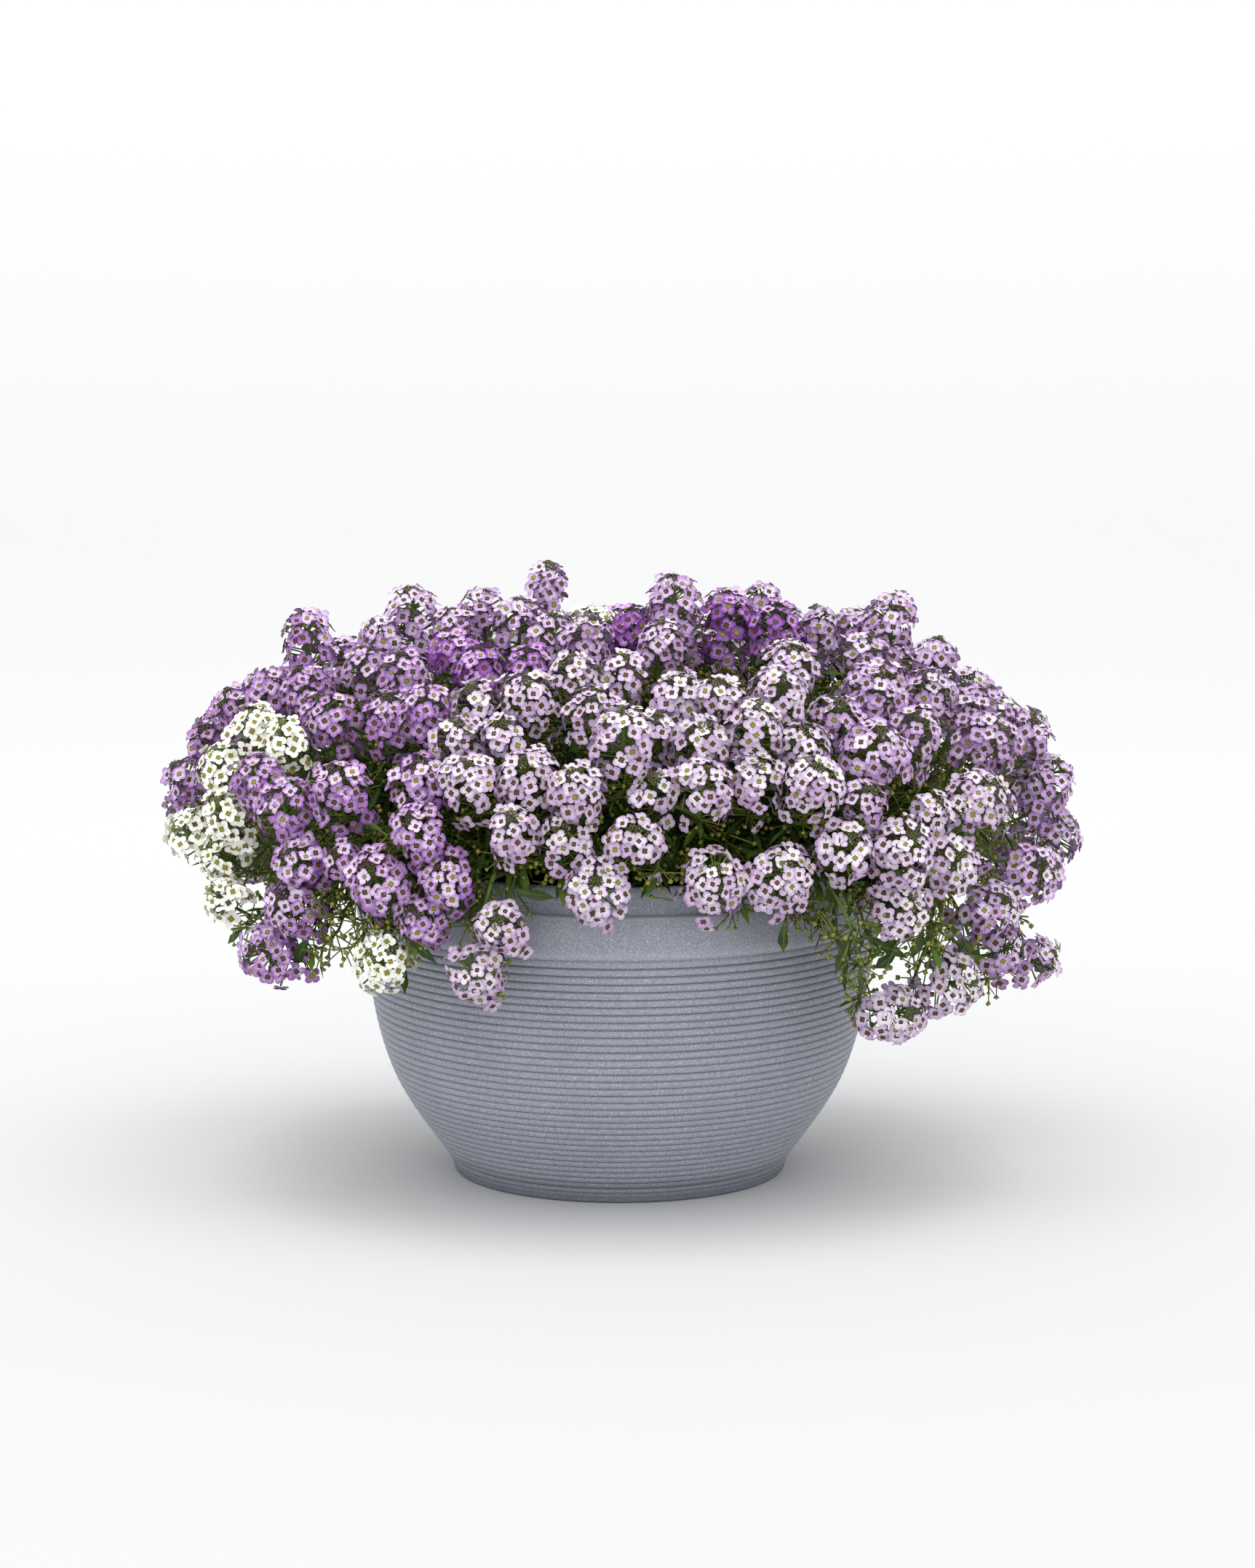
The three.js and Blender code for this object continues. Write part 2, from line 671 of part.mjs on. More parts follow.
// ---------------------------------------------------------------- stems and leaves
// The leafy core: a dome of leaf tips and hollows, in turn, over a plug that fills the pot's mouth.
function coreSolid() {
  const points = [];
  CORE_RINGS.forEach(([out, up], ring) => {
    for (let i = 0; i < CORE.sides; i++) {
      const turn = (2 * Math.PI * (i + ring / 2)) / CORE.sides;
      const relief = ring > 0 && (i + ring) % 2 ? 1 + CORE.relief * out : 1;
      const high = up < 0 ? CORE.down : CORE.up;
      const [x, y] = [CORE.x * out * relief * Math.cos(turn), CORE.y * out * relief * Math.sin(turn)];
      points.push(new THREE.Vector3(x, y, CORE.level + high * up * relief));
    }
  });
  const at = (ring, i) => ring * CORE.sides + (i % CORE.sides);
  const top = points.push(new THREE.Vector3(0, 0, CORE.level + CORE.up)) - 1;
  const bottom = points.push(new THREE.Vector3(0, 0, CORE.level - CORE.down)) - 1;
  const last = CORE_RINGS.length - 1;
  const faces = [];
  for (let i = 0; i < CORE.sides; i++) {
    faces.push([bottom, at(0, i + 1), at(0, i)], [top, at(last, i), at(last, i + 1)]);
    for (let ring = 0; ring < last; ring++) {
      faces.push([at(ring, i), at(ring, i + 1), at(ring + 1, i)]);
      faces.push([at(ring, i + 1), at(ring + 1, i + 1), at(ring + 1, i)]);
    }
  }
  const plugFoot = new THREE.Vector3(0, 0, SOIL.top + 1);
  const plugTop = new THREE.Vector3(0, 0, CORE.level);
  const plug = rod(plugFoot, plugTop, CORE.plugRadius, CORE.plugRadius, CORE.sides);
  return solidOf(indexed(points, faces)).add(plug);
}

// The least gap between a straight stretch and the obstacles, leaving one out, and the obstacle that it is
// to.
function clearOf(from, to, obstacles, except, half = STEM.radius) {
  const stretch = new THREE.Line3(from, to);
  const away = new THREE.Vector3();
  let least = { gap: Infinity };
  for (const obstacle of obstacles) {
    if (obstacle === except || obstacle.place.distanceTo(from) > STEM.far) continue;
    stretch.closestPointToPoint(obstacle.place, true, away);
    away.sub(obstacle.place);
    const distance = away.length();
    const gap = distance - reach(obstacle, away.divideScalar(distance)) - half;
    if (gap < least.gap) least = { gap, obstacle };
  }
  return least;
}

const stemTip = ({ place, axis, half }) =>
  place.clone().addScaledVector(axis, -half * FLORET.underside - CLEARANCE);

// A stem leaves the core near its head and runs straight to it. One that trails goes over the pot's rim, then
// down behind its head. Feet are tried further and further from the nearest one until the way is clear.
function stemPath(head, obstacles, random) {
  const tip = stemTip(head);
  const neck = tip.clone().addScaledVector(head.axis, -STEM.neck);
  const trails = neck.z < POT.height + 2;
  const outward = Math.atan2(head.place.y / CORE.y, head.place.x / CORE.x);
  const rise = THREE.MathUtils.clamp((neck.z - CORE.level) / CORE.up / 1.4, 0, 0.95);
  let best = null;
  for (let attempt = 0; attempt < STEM.attempts; attempt++) {
    const stray = STEM.stray * attempt;
    const turn = outward + (random() - 0.5) * stray * 2;
    const lift = trails ? 0 : THREE.MathUtils.clamp(rise + (random() - 0.5) * stray, 0, 0.95);
    const ring = STEM.foot * Math.sqrt(1 - lift ** 2);
    const foot = new THREE.Vector3(CORE.x * ring * Math.cos(turn), CORE.y * ring * Math.sin(turn), 0);
    foot.z = CORE.level + STEM.foot * CORE.up * lift + 1;
    const skewed = tip.clone().sub(foot).normalize().dot(head.axis) < STEM.skew;
    const path = trails || skewed ? [foot, neck, tip] : [foot, tip];
    const over = Math.max(STEM.overRim, Math.hypot(neck.x, neck.y));
    const spread = over / Math.hypot(foot.x, foot.y);
    const overRim = new THREE.Vector3(foot.x * spread, foot.y * spread, POT.height + STEM.rimGap);
    if (trails && spread > 1) path.splice(1, 0, overRim);
    const own = path.length - 2;
    const nearest = path
      .slice(1)
      .map((to, i) => clearOf(path[i], to, obstacles, i === own ? head : null))
      .reduce((least, next) => (next.gap < least.gap ? next : least));
    if (!best || nearest.gap > best.nearest.gap) best = { path, nearest, trails: neck.z < POT.bandTop };
    if (nearest.gap > CLEARANCE) break;
  }
  const inward = best.path[0].clone().sub(best.path[1]).normalize();
  best.path[0].addScaledVector(inward, STEM.root);
  return best;
}

// Whether a leaf stands clear of the heads and the pot.
function fits(foot, direction, length, obstacles) {
  const tip = foot.clone().addScaledVector(direction, length);
  const start = foot.clone().addScaledVector(direction, 4);
  const low = [0.5, 1].some((share) => {
    const p = foot.clone().addScaledVector(direction, length * share);
    return p.z < POT.height + LEAF.rimGap && Math.hypot(p.x, p.y) < POT.rimRadius + LEAF.rimGap;
  });
  return !low && clearOf(start, tip, obstacles, null, LEAF.width / 2 + length * LEAF.bend).gap > CLEARANCE;
}

const UP = new THREE.Vector3(0, 0, 1);

// Leaves stand out of the core wherever one fits between the heads.
function coreLeaves(obstacles, random) {
  const made = [];
  const golden = Math.PI * (3 - Math.sqrt(5));
  for (let i = 0; made.length < LEAF.count && i < 1500; i++) {
    const high = 0.95 - random() * 1.1;
    const ring = Math.sqrt(1 - Math.max(high, 0) ** 2);
    const turn = i * golden;
    const out = new THREE.Vector3(ring * Math.cos(turn), ring * Math.sin(turn), Math.max(high, 0));
    const foot = out.clone().multiply(new THREE.Vector3(CORE.x, CORE.y, CORE.up)).multiplyScalar(0.9);
    foot.z += CORE.level;
    const direction = new THREE.Vector3(out.x / CORE.x, out.y / CORE.y, out.z / CORE.up).normalize();
    const droop = Math.min(high, 0) * 5;
    direction.add(new THREE.Vector3(random() - 0.5, random() - 0.5, random() - 0.5 + droop)).normalize();
    const length = LEAF.length * (1.05 + 0.5 * random());
    if (fits(foot, direction, length, obstacles)) made.push(leafBlade(foot, direction, length, UP));
  }
  return made;
}

// A trailing stem bears leaves along the stretch outside the pot.
function stemLeaves({ path }, obstacles, random) {
  const made = [];
  const [from, to] = path.slice(-3);
  for (let i = 0; made.length < LEAF.onStem && i < 24; i++) {
    const foot = from.clone().lerp(to, 0.15 + 0.75 * random());
    const out = new THREE.Vector3(foot.x, foot.y, 0).normalize();
    const stray = new THREE.Vector3(random() - 0.5, random() - 0.5, random() - 0.7);
    out.addScaledVector(stray, 2.4).normalize();
    if (fits(foot, out, LEAF.length * 0.8, obstacles)) made.push(leafBlade(foot, out, LEAF.length * 0.8, UP));
  }
  return made;
}

// The places where two heads of a spray touch.
function touchesOf(heads) {
  return heads
    .filter(({ partner }) => partner)
    .map(({ place, partner, axis }) => ({
      place: place.clone().lerp(partner.place, 0.5),
      axis,
      radius: FLORET.touch,
      half: FLORET.touch,
    }));
}

// One body of core, stems and leaves. A head that stands on another of its spray has no stem of its own.
function growthSolid(heads) {
  const random = seeded(5);
  const touches = touchesOf(heads);
  const room = FLORET.touch + 2 * STEM.radius;
  const standsAlone = (head) => touches.every(({ place }) => place.distanceTo(stemTip(head)) > room);
  const obstacles = [...heads, ...touches];
  const solids = [coreSolid(), ...CROWNS.map((crown) => crownRod(crown, 0))];
  for (const head of heads.filter(standsAlone)) {
    const stem = stemPath(head, obstacles, random);
    solids.push(stemThrough(stem.path, head.axis));
    if (stem.trails) solids.push(...stemLeaves(stem, obstacles, random));
  }
  return joined([...solids, ...coreLeaves(obstacles, random)]);
}

// ---------------------------------------------------------------- assembly
const plastic = new THREE.MeshStandardMaterial({ color: 0x8d93a6, roughness: 0.62, metalness: 0 });
const earth = new THREE.MeshStandardMaterial({ color: 0x2b1f17, roughness: 1, metalness: 0 });
const green = new THREE.MeshStandardMaterial({ color: 0x55701f, roughness: 0.7, metalness: 0 });
const petalOf = (color) => new THREE.MeshStandardMaterial({ color, roughness: 0.65, metalness: 0 });
const petals = Object.fromEntries(Object.entries(TONES).map(([tone, color]) => [tone, petalOf(color)]));

const heads = settle([...frontHeads(), ...backHeads(FRONT_SPRAYS.length)]);
const twist = seeded(3);
for (const head of heads) head.twist = twist() * 2 * Math.PI;

const group = new THREE.Group();
group.add(meshOf("pot", potSolid(), plastic), meshOf("potting_soil", soilSolid(), earth));

const spraysInAll = FRONT_SPRAYS.length + BACK_BANDS.reduce((sum, band) => sum + band.sprays, 0);
const madeOfTone = Object.fromEntries(Object.keys(TONES).map((tone) => [tone, 0]));
for (let spray = 0; spray < spraysInAll; spray++) {
  const own = heads.filter((head) => head.spray === spray);
  const tone = FRONT_SPRAYS[spray]?.tone ?? BACK_TONES[spray % BACK_TONES.length];
  madeOfTone[tone] += 1;
  group.add(meshOf(`${tone}_heads_${madeOfTone[tone]}`, solidOf(sprayGeometry(own)), petals[tone]));
}
group.add(meshOf("stems_and_leaves", growthSolid(heads), green));

export default group;
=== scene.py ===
# Sweet alyssum in a ribbed bowl pot. Metres, +Z up, origin at the centre of the pot's underside.
import math

import bpy
import numpy as np
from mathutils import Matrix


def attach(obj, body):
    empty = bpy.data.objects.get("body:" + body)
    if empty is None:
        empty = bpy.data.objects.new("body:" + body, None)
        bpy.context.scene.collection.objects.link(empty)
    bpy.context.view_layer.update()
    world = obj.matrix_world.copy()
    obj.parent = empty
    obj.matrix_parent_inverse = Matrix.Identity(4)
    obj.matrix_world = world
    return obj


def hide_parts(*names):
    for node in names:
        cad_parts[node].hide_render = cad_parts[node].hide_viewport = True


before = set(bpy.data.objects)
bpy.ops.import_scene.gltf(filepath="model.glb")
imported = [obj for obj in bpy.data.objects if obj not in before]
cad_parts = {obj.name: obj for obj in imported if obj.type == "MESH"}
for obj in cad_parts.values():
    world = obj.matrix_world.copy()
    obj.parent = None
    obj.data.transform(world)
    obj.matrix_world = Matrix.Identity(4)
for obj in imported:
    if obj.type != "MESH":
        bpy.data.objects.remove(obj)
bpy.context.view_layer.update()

# ------------------------------------------------------------------------------------------------------------
# The studio: a sweep of pale matt paper that runs from under the pot up behind it and glows a little as
# painted fill light, in soft light from all round with a wide lamp overhead and three weaker ones. It isn't
# part of the object.
# ------------------------------------------------------------------------------------------------------------


def piece_of(name, points, faces, materials, smooth=True, which=None, **marks):
    """A mesh object, with a number for each vertex under every name in marks."""
    mesh = bpy.data.meshes.new(name)
    mesh.from_pydata(np.asarray(points).tolist(), [], faces if isinstance(faces, list) else faces.tolist())
    for mark, values in marks.items():
        mesh.attributes.new(mark, "FLOAT", "POINT").data.foreach_set("value", np.asarray(values, np.float32))
    for material in materials:
        mesh.materials.append(material)
    if which is not None:
        mesh.polygons.foreach_set("material_index", np.asarray(which, np.int32))
    mesh.polygons.foreach_set("use_smooth", [smooth] * len(mesh.polygons))
    mesh.update()
    made = bpy.data.objects.new(name, mesh)
    bpy.context.scene.collection.objects.link(made)
    return made


class Wiring:
    """The nodes of one material, or of one effect that several materials share."""

    def __init__(self, tree):
        self.tree = tree

    def node(self, kind, **settings):
        made = self.tree.nodes.new(kind)
        for setting, value in settings.items():
            setattr(made, setting, value)
        return made

    def feed(self, socket, value):
        """Lead another node's output to the socket, or give it a plain value."""
        if isinstance(value, bpy.types.NodeSocket):
            self.tree.links.new(value, socket)
        else:
            socket.default_value = value

    def place(self):
        """Where a spot lies in the piece itself."""
        return self.node("ShaderNodeTexCoord").outputs["Object"]

    def mark(self, name):
        """A number that the mesh holds for each vertex."""
        return self.node("ShaderNodeAttribute", attribute_name=name).outputs["Fac"]

    def sum(self, operation, first, second):
        made = self.node("ShaderNodeMath", operation=operation)
        self.feed(made.inputs[0], first)
        self.feed(made.inputs[1], second)
        return made.outputs[0]

    def spread(self, value, low, high, to_low=0.0, to_high=1.0):
        """The value stretched, so that low to high becomes to_low to to_high."""
        made = self.node("ShaderNodeMapRange")
        self.feed(made.inputs["Value"], value)
        for name, number in zip(["From Min", "From Max", "To Min", "To Max"], [low, high, to_low, to_high]):
            self.feed(made.inputs[name], number)
        return made.outputs["Result"]

    def mix(self, share, first, second):
        made = self.node("ShaderNodeMix", data_type="RGBA")
        self.feed(made.inputs["Factor"], share)
        self.feed(made.inputs[6], first)
        self.feed(made.inputs[7], second)
        return made.outputs[2]

    def use(self, effect, **values):
        """A shared effect placed here with its own values. Its outputs come back."""
        made = self.node("ShaderNodeGroup")
        made.node_tree = effect
        for name, value in values.items():
            self.feed(made.inputs[name.replace("_", " ")], value)
        return made.outputs

    def relief(self, height, strength, depth):
        """Small highs and lows on the surface."""
        made = self.node("ShaderNodeBump")
        made.inputs["Strength"].default_value = strength
        made.inputs["Distance"].default_value = depth
        self.feed(made.inputs["Height"], height)
        self.feed(self.shader.inputs["Normal"], made.outputs["Normal"])

    def finish(self, colour):
        self.feed(self.shader.inputs["Base Color"], colour)
        return self.material


def finish_of(name, **values):
    """The wiring of a new material, whose shader has these plain values."""
    material = bpy.data.materials.new(name)
    material.use_nodes = True
    wiring = Wiring(material.node_tree)
    wiring.material = material
    wiring.shader = material.node_tree.nodes["Principled BSDF"]
    for socket, value in values.items():
        wiring.shader.inputs[socket.replace("_", " ")].default_value = value
    return wiring


def paint(red, green, blue):
    """A shade as printed, 0 to 255, as the shader's own linear colour."""
    share = [c / 255 for c in (red, green, blue)]
    return [s / 12.92 if s <= 0.04045 else ((s + 0.055) / 1.055) ** 2.4 for s in share] + [1.0]


sweep_depth, sweep_height, sweep_bend = 4.6, 5.2, 1.6
sweep_half, sweep_front = 20.0, 16.0
bend_steps = 12
sweep_profile = [(-sweep_front, 0.0), (0.0, 0.0)]
for step in range(bend_steps + 1):
    turn = math.pi / 2 * step / bend_steps
    sweep_profile.append((sweep_depth - sweep_bend + sweep_bend * math.sin(turn),
                          sweep_bend * (1 - math.cos(turn))))
sweep_profile.append((sweep_depth, sweep_height))
sweep_points = [(x, y, z) for y, z in sweep_profile for x in (-sweep_half, sweep_half)]
sweep_faces = [[2 * i, 2 * i + 1, 2 * i + 3, 2 * i + 2] for i in range(len(sweep_profile) - 1)]
paper = finish_of("Pale Studio Paper", Roughness=0.85, Specular_IOR_Level=0.2, Emission_Strength=0.24)
where = paper.node("ShaderNodeSeparateXYZ")
paper.feed(where.inputs["Vector"], paper.place())
paper_tone = paint(180, 181, 182)
# The paper is painted paler further back and further up, painted light that evens out the lamps' fall-off:
# (axis, from, to, grey there).
for axis, start, end, grey in (("Y", -0.3, 1.0, 200), ("Y", 1.0, 3.0, 211), ("Z", 0.0, 0.5, 222)):
    paper_tone = paper.mix(paper.spread(where.outputs[axis], start, end), paper_tone, paint(grey, grey, grey))
# It glows everywhere, a painted fill light that lightens the plant's shadow on it; near the pot's foot the
# glow is weaker, a painted shadow where the pot stands.
pot_shade, full_glow = 0.08, 0.2
from_foot = paper.node("ShaderNodeVectorMath", operation="LENGTH")
paper.feed(from_foot.inputs[0], paper.place())
glow = paper.mix(paper.spread(from_foot.outputs["Value"], pot_shade, full_glow), paint(100, 100, 102),
                 paint(255, 255, 255))
paper.feed(paper.shader.inputs["Emission Color"], glow)
sweep = piece_of("studio_sweep", sweep_points, sweep_faces, [paper.finish(paper_tone)])

world = bpy.data.worlds.new("Studio Light")
bpy.context.scene.world = world
world.use_nodes = True
world.node_tree.nodes["Background"].inputs["Color"].default_value = (0.985, 0.99, 1.0, 1.0)
world.node_tree.nodes["Background"].inputs["Strength"].default_value = 1.02


def lamp(name, place, aim, size, power):
    """A flat rectangular lamp that points at its aim."""
    light = bpy.data.lights.new(name, "AREA")
    light.shape = "RECTANGLE"
    light.size, light.size_y = size
    light.energy = power
    made = bpy.data.objects.new(name, light)
    bpy.context.scene.collection.objects.link(made)
    made.location = place
    way = np.array(aim) - np.array(place)
    flat = math.hypot(way[0], way[1])
    made.rotation_euler = (math.atan2(flat, -way[2]), 0, math.atan2(way[1], way[0]) - math.pi / 2)
    return made


lamp("overhead_lamp", (0.0, -0.3, 2.1), (0.0, 0.0, 0.2), (1.8, 1.4), 20)
lamp("front_lamp", (0.0, -3.0, 1.8), (0.0, 0.0, 0.2), (2.6, 1.2), 16)
lamp("left_lamp", (-2.0, -1.6, 1.1), (0.0, 0.0, 0.15), (1.2, 1.4), 9)
lamp("right_lamp", (2.0, -1.5, 1.0), (0.0, 0.0, 0.15), (1.2, 1.4), 6)

# The camera stands straight in front, higher than the plant, and looks a little down on it.
look_down = 9.208
camera = bpy.data.objects.new("camera", bpy.data.cameras.new("camera"))
bpy.context.scene.collection.objects.link(camera)
camera.location = (0.004, -2.665, 0.621)
camera.rotation_euler = (math.radians(90 - look_down), 0, 0)
camera.data.lens = 128.07
camera.data.sensor_width = 36.0
bpy.context.scene.camera = camera
bpy.context.scene.view_settings.view_transform = "Standard"

# ------------------------------------------------------------------------------------------------------------
# The pot: a bowl of blue-grey recycled plastic with a fine pale speckle, moulded in one piece. Rounded ribs
# run round it under a smooth rim band, over which a set-in collar stands with a flat pad. Its foot is low.
# ------------------------------------------------------------------------------------------------------------
MM = 0.001


def curve_through(knots, steps):
    """Points on a smooth curve through the knots, evenly spaced along it."""
    steps_a_knot = 12
    knots = np.asarray(knots, float)
    ends = np.vstack([2 * knots[0] - knots[1], knots, 2 * knots[-1] - knots[-2]])
    share = np.linspace(0, 1, steps_a_knot, endpoint=False)[:, None]
    rows = []
    for a, b, c, d in zip(ends[:-3], ends[1:-2], ends[2:-1], ends[3:]):
        rows.append(0.5 * (2 * b + (c - a) * share + (2 * a - 5 * b + 4 * c - d) * share**2
                           + (3 * b - a - 3 * c + d) * share**3))
    fine = np.vstack(rows + [knots[-1:]])
    along = np.concatenate([[0], np.cumsum(np.linalg.norm(np.diff(fine, axis=0), axis=1))])
    even = np.linspace(0, along[-1], steps)
    return np.stack([np.interp(even, along, fine[:, k]) for k in range(fine.shape[1])], axis=1)


def lathe(profile, turns):
    """A closed body turned about Z from a profile of (radius, height) that starts and ends on the axis."""
    rings = np.asarray(profile[1:-1], float)
    count = len(turns)
    circle = np.stack([np.cos(turns), np.sin(turns)], axis=1)
    flat = np.repeat(rings[:, None, :1], count, 1) * circle[None]
    points = np.concatenate([flat, np.repeat(rings[:, None, 1:], count, 1)], axis=2)
    points = np.vstack([points.reshape(-1, 3), [[0, 0, profile[0][1]]], [[0, 0, profile[-1][1]]]])
    first, last = len(points) - 2, len(points) - 1
    top = (len(rings) - 1) * count
    faces = []
    for k in range(count):
        n = (k + 1) % count
        faces.append([first, n, k])
        faces.extend([r + k, r + n, r + count + n, r + count + k] for r in range(0, top, count))
        faces.append([last, top + k, top + n])
    return points, faces


collar_radius, ledge_height, collar_top = 124 * MM, 146.9 * MM, 160.5 * MM
wall, floor_top, floor_curve = 2.6 * MM, 5 * MM, 4 * MM
rib_count, rib_depth = 34, 1.1 * MM
behind_ribs = 1.4 * MM
# Each rib is given as (share of the pitch, share of the depth), from one groove to the next.
rib_section = [(0.0, 1.0), (0.08, 0.45), (0.2, 0.1), (0.5, 0.0), (0.8, 0.1), (0.92, 0.45)]
bowl_steps, inner_top, inner_step = 600, 560, 60
bowl_knots = np.array([(82.3, 7.2), (92.8, 21.6), (102.6, 36.1), (110.2, 50.5), (116.6, 69.8), (121.2, 92.3),
                       (124.4, 110), (125.6, 125.6)]) * MM
bowl = curve_through(bowl_knots, bowl_steps + 1)
bowl_ways = np.gradient(bowl, axis=0)
bowl_ways /= np.linalg.norm(bowl_ways, axis=1)[:, None]
bowl_inward = np.stack([-bowl_ways[:, 1], bowl_ways[:, 0]], axis=1)
rib_spots = [(round((rib + share) / rib_count * bowl_steps), sunk) for rib in range(rib_count)
             for share, sunk in rib_section]
ribs = [bowl[spot] + bowl_inward[spot] * rib_depth * sunk for spot, sunk in rib_spots]
# The inner wall follows the bowl's curve behind the grooves, from under the rim band down to the floor.
inner_bowl = [bowl[k] + bowl_inward[k] * (wall + behind_ribs) for k in range(inner_top, 0, -inner_step)]
# The underside, the foot ring and the rim are given as (radius, height) in millimetres.
foot_profile = [(0, 0), (18, 0), (20, 0.3), (22, 2), (70, 2), (71.5, 0.3), (73, 0), (78.6, 0), (80.1, 0.5),
                (80.7, 1.8), (80.6, 2.6), (81.1, 3.2), (81.2, 4.2), (80.9, 4.7), (81.6, 5.3), (82.1, 6.3),
                (81.2, 7.0)]
rim_profile = [(125.0, 125.7), (126.2, 126.1), (127.1, 127.2), (127.4, 129.0), (127.2, 132.0), (127.0, 138.0),
               (126.9, 145.0), (126.5, 146.1), (125.6, 146.8), (124.6, 147.0), (124.0, 147.7), (123.9, 151.0),
               (123.9, 156.0), (123.7, 159.3), (123.2, 160.2), (122.5, 160.5), (121.8, 160.2), (121.4, 159.4),
               (121.2, 146.0), (121.0, 128.5)]
pot_profile = [(r * MM, z * MM) for r, z in foot_profile] + ribs + [(r * MM, z * MM) for r, z in rim_profile]
pot_profile += inner_bowl + [(inner_bowl[-1][0] - floor_curve, floor_top), (0, floor_top)]

lug_turn, lug_half, lug_edge, lug_depth = math.radians(-114.5), 7.5 * MM, 0.9 * MM, 0.8 * MM
pot_sides = 138
pot_turns = np.linspace(-math.pi, math.pi, pot_sides, endpoint=False)
lug_steps = [-0.5 * MM, 0.0, lug_edge]
lug_turns = [lug_turn + side * (lug_half + step) / collar_radius for side in (-1, 1) for step in lug_steps]
pot_turns = np.sort(np.concatenate([pot_turns, lug_turns]))
pot_points, pot_faces = lathe(pot_profile, pot_turns)

# The pad on the collar is a slight swelling with two soft creases.
outward = np.hypot(pot_points[:, 0], pot_points[:, 1])
from_lug = (np.arctan2(pot_points[:, 1], pot_points[:, 0]) - lug_turn) * collar_radius
on_collar = (pot_points[:, 2] > ledge_height + 0.9 * MM) & (pot_points[:, 2] < collar_top - 0.2 * MM)
on_collar &= outward > collar_radius - 1.4 * MM
swell = np.clip((lug_half + lug_edge - np.abs(from_lug)) / lug_edge, 0, 1) * on_collar * lug_depth
pot_points[:, :2] *= ((outward + swell) / np.maximum(outward, 1e-9))[:, None]


def effect_of(name, inputs, outputs):
    """An effect that several materials share: a node group whose inputs are (name, kind, usual value)."""
    group = bpy.data.node_groups.new(name, "ShaderNodeTree")
    for socket, kind, usual in inputs:
        made = group.interface.new_socket(name=socket, in_out="INPUT", socket_type="NodeSocket" + kind)
        made.default_value = usual
    for socket, kind in outputs:
        group.interface.new_socket(name=socket, in_out="OUTPUT", socket_type="NodeSocket" + kind)
    wiring = Wiring(group)
    wiring.given = wiring.node("NodeGroupInput").outputs
    wiring.results = wiring.node("NodeGroupOutput").inputs
    return wiring


# Fine grain: cloudy patches of any size. Share runs from 0 to 1 between the clouds' low and high levels.
grain = effect_of("Fine Grain", [("Scale", "Float", 500.0), ("Low", "Float", 0.3), ("High", "Float", 0.7)],
                  [("Share", "Float"), ("Height", "Float")])
clouds = grain.node("ShaderNodeTexNoise")
clouds.inputs["Detail"].default_value = 3.0
grain.feed(clouds.inputs["Vector"], grain.place())
grain.feed(clouds.inputs["Scale"], grain.given["Scale"])
grain_share = grain.spread(clouds.outputs["Fac"], grain.given["Low"], grain.given["High"])
grain.feed(grain.results["Share"], grain_share)
grain.feed(grain.results["Height"], clouds.outputs["Fac"])
fine_grain = grain.tree

# The plastic has a sandy grain, fine pale specks, wide faint blotches and here and there a dark speck.
moulded = finish_of("Speckled Blue Grey Plastic", Specular_IOR_Level=0.4)
sand = moulded.use(fine_grain, Scale=760.0)
speck = moulded.use(fine_grain, Scale=1500.0, Low=0.5, High=0.72)["Share"]
blotch = moulded.use(fine_grain, Scale=26.0)["Share"]
tone = moulded.mix(blotch, paint(142, 145, 156), paint(152, 155, 166))
tone = moulded.mix(moulded.sum("MULTIPLY", sand["Share"], 0.6), tone, paint(125, 128, 140))
tone = moulded.mix(speck, tone, paint(186, 188, 198))
fleck = moulded.node("ShaderNodeTexVoronoi")
fleck.inputs["Scale"].default_value = 95.0
moulded.feed(fleck.inputs["Vector"], moulded.place())
dark_fleck = moulded.spread(fleck.outputs["Distance"], 0.035, 0.05, 1.0, 0.0)
rare = moulded.use(fine_grain, Scale=37.0, Low=0.66, High=0.68)["Share"]
tone = moulded.mix(moulded.sum("MULTIPLY", dark_fleck, rare), tone, paint(60, 60, 70))
# Painted shade from the pot's mark: the grooves, the foot and the collar are darkened.
tone = moulded.mix(moulded.mark("painted_shade"), tone, paint(52, 56, 70))
# Painted highlight from the pot's mark: the ledge's edge and the band's lower edge are lightened.
tone = moulded.mix(moulded.mark("painted_highlight"), tone, paint(190, 191, 200))
moulded.relief(moulded.sum("ADD", sand["Height"], speck), 0.14, 0.0003)
moulded.feed(moulded.shader.inputs["Roughness"], moulded.spread(sand["Share"], 0.0, 1.0, 0.42, 0.58))
plastic = moulded.finish(tone)
pot = piece_of("bowl_pot", pot_points, pot_faces, [plastic])

# The drain holes are cut through the floor.
drain_holes, drain_radius, drain_circle = 5, 4.5 * MM, 46 * MM
drill_sides, drill_low, drill_high = 24, -3 * MM, 9 * MM
drill_points, drill_faces = [], []
for hole in range(drain_holes):
    turn = 2 * math.pi * hole / drain_holes
    centre = np.array([drain_circle * math.cos(turn), drain_circle * math.sin(turn), 0])
    points, faces = lathe([(0, drill_low), (drain_radius, drill_low), (drain_radius, drill_high),
                           (0, drill_high)], np.linspace(0, 2 * math.pi, drill_sides, endpoint=False))
    drill_faces += [[corner + hole * len(points) for corner in face] for face in faces]
    drill_points.append(points + centre)
drill = piece_of("drill", np.vstack(drill_points), drill_faces, [plastic])
cut = pot.modifiers.new("drain", "BOOLEAN")
cut.object, cut.solver = drill, "MANIFOLD"
cut_mesh = bpy.data.meshes.new_from_object(pot.evaluated_get(bpy.context.evaluated_depsgraph_get()))
pot.modifiers.clear()
pot.data = cut_mesh
bpy.data.objects.remove(drill)
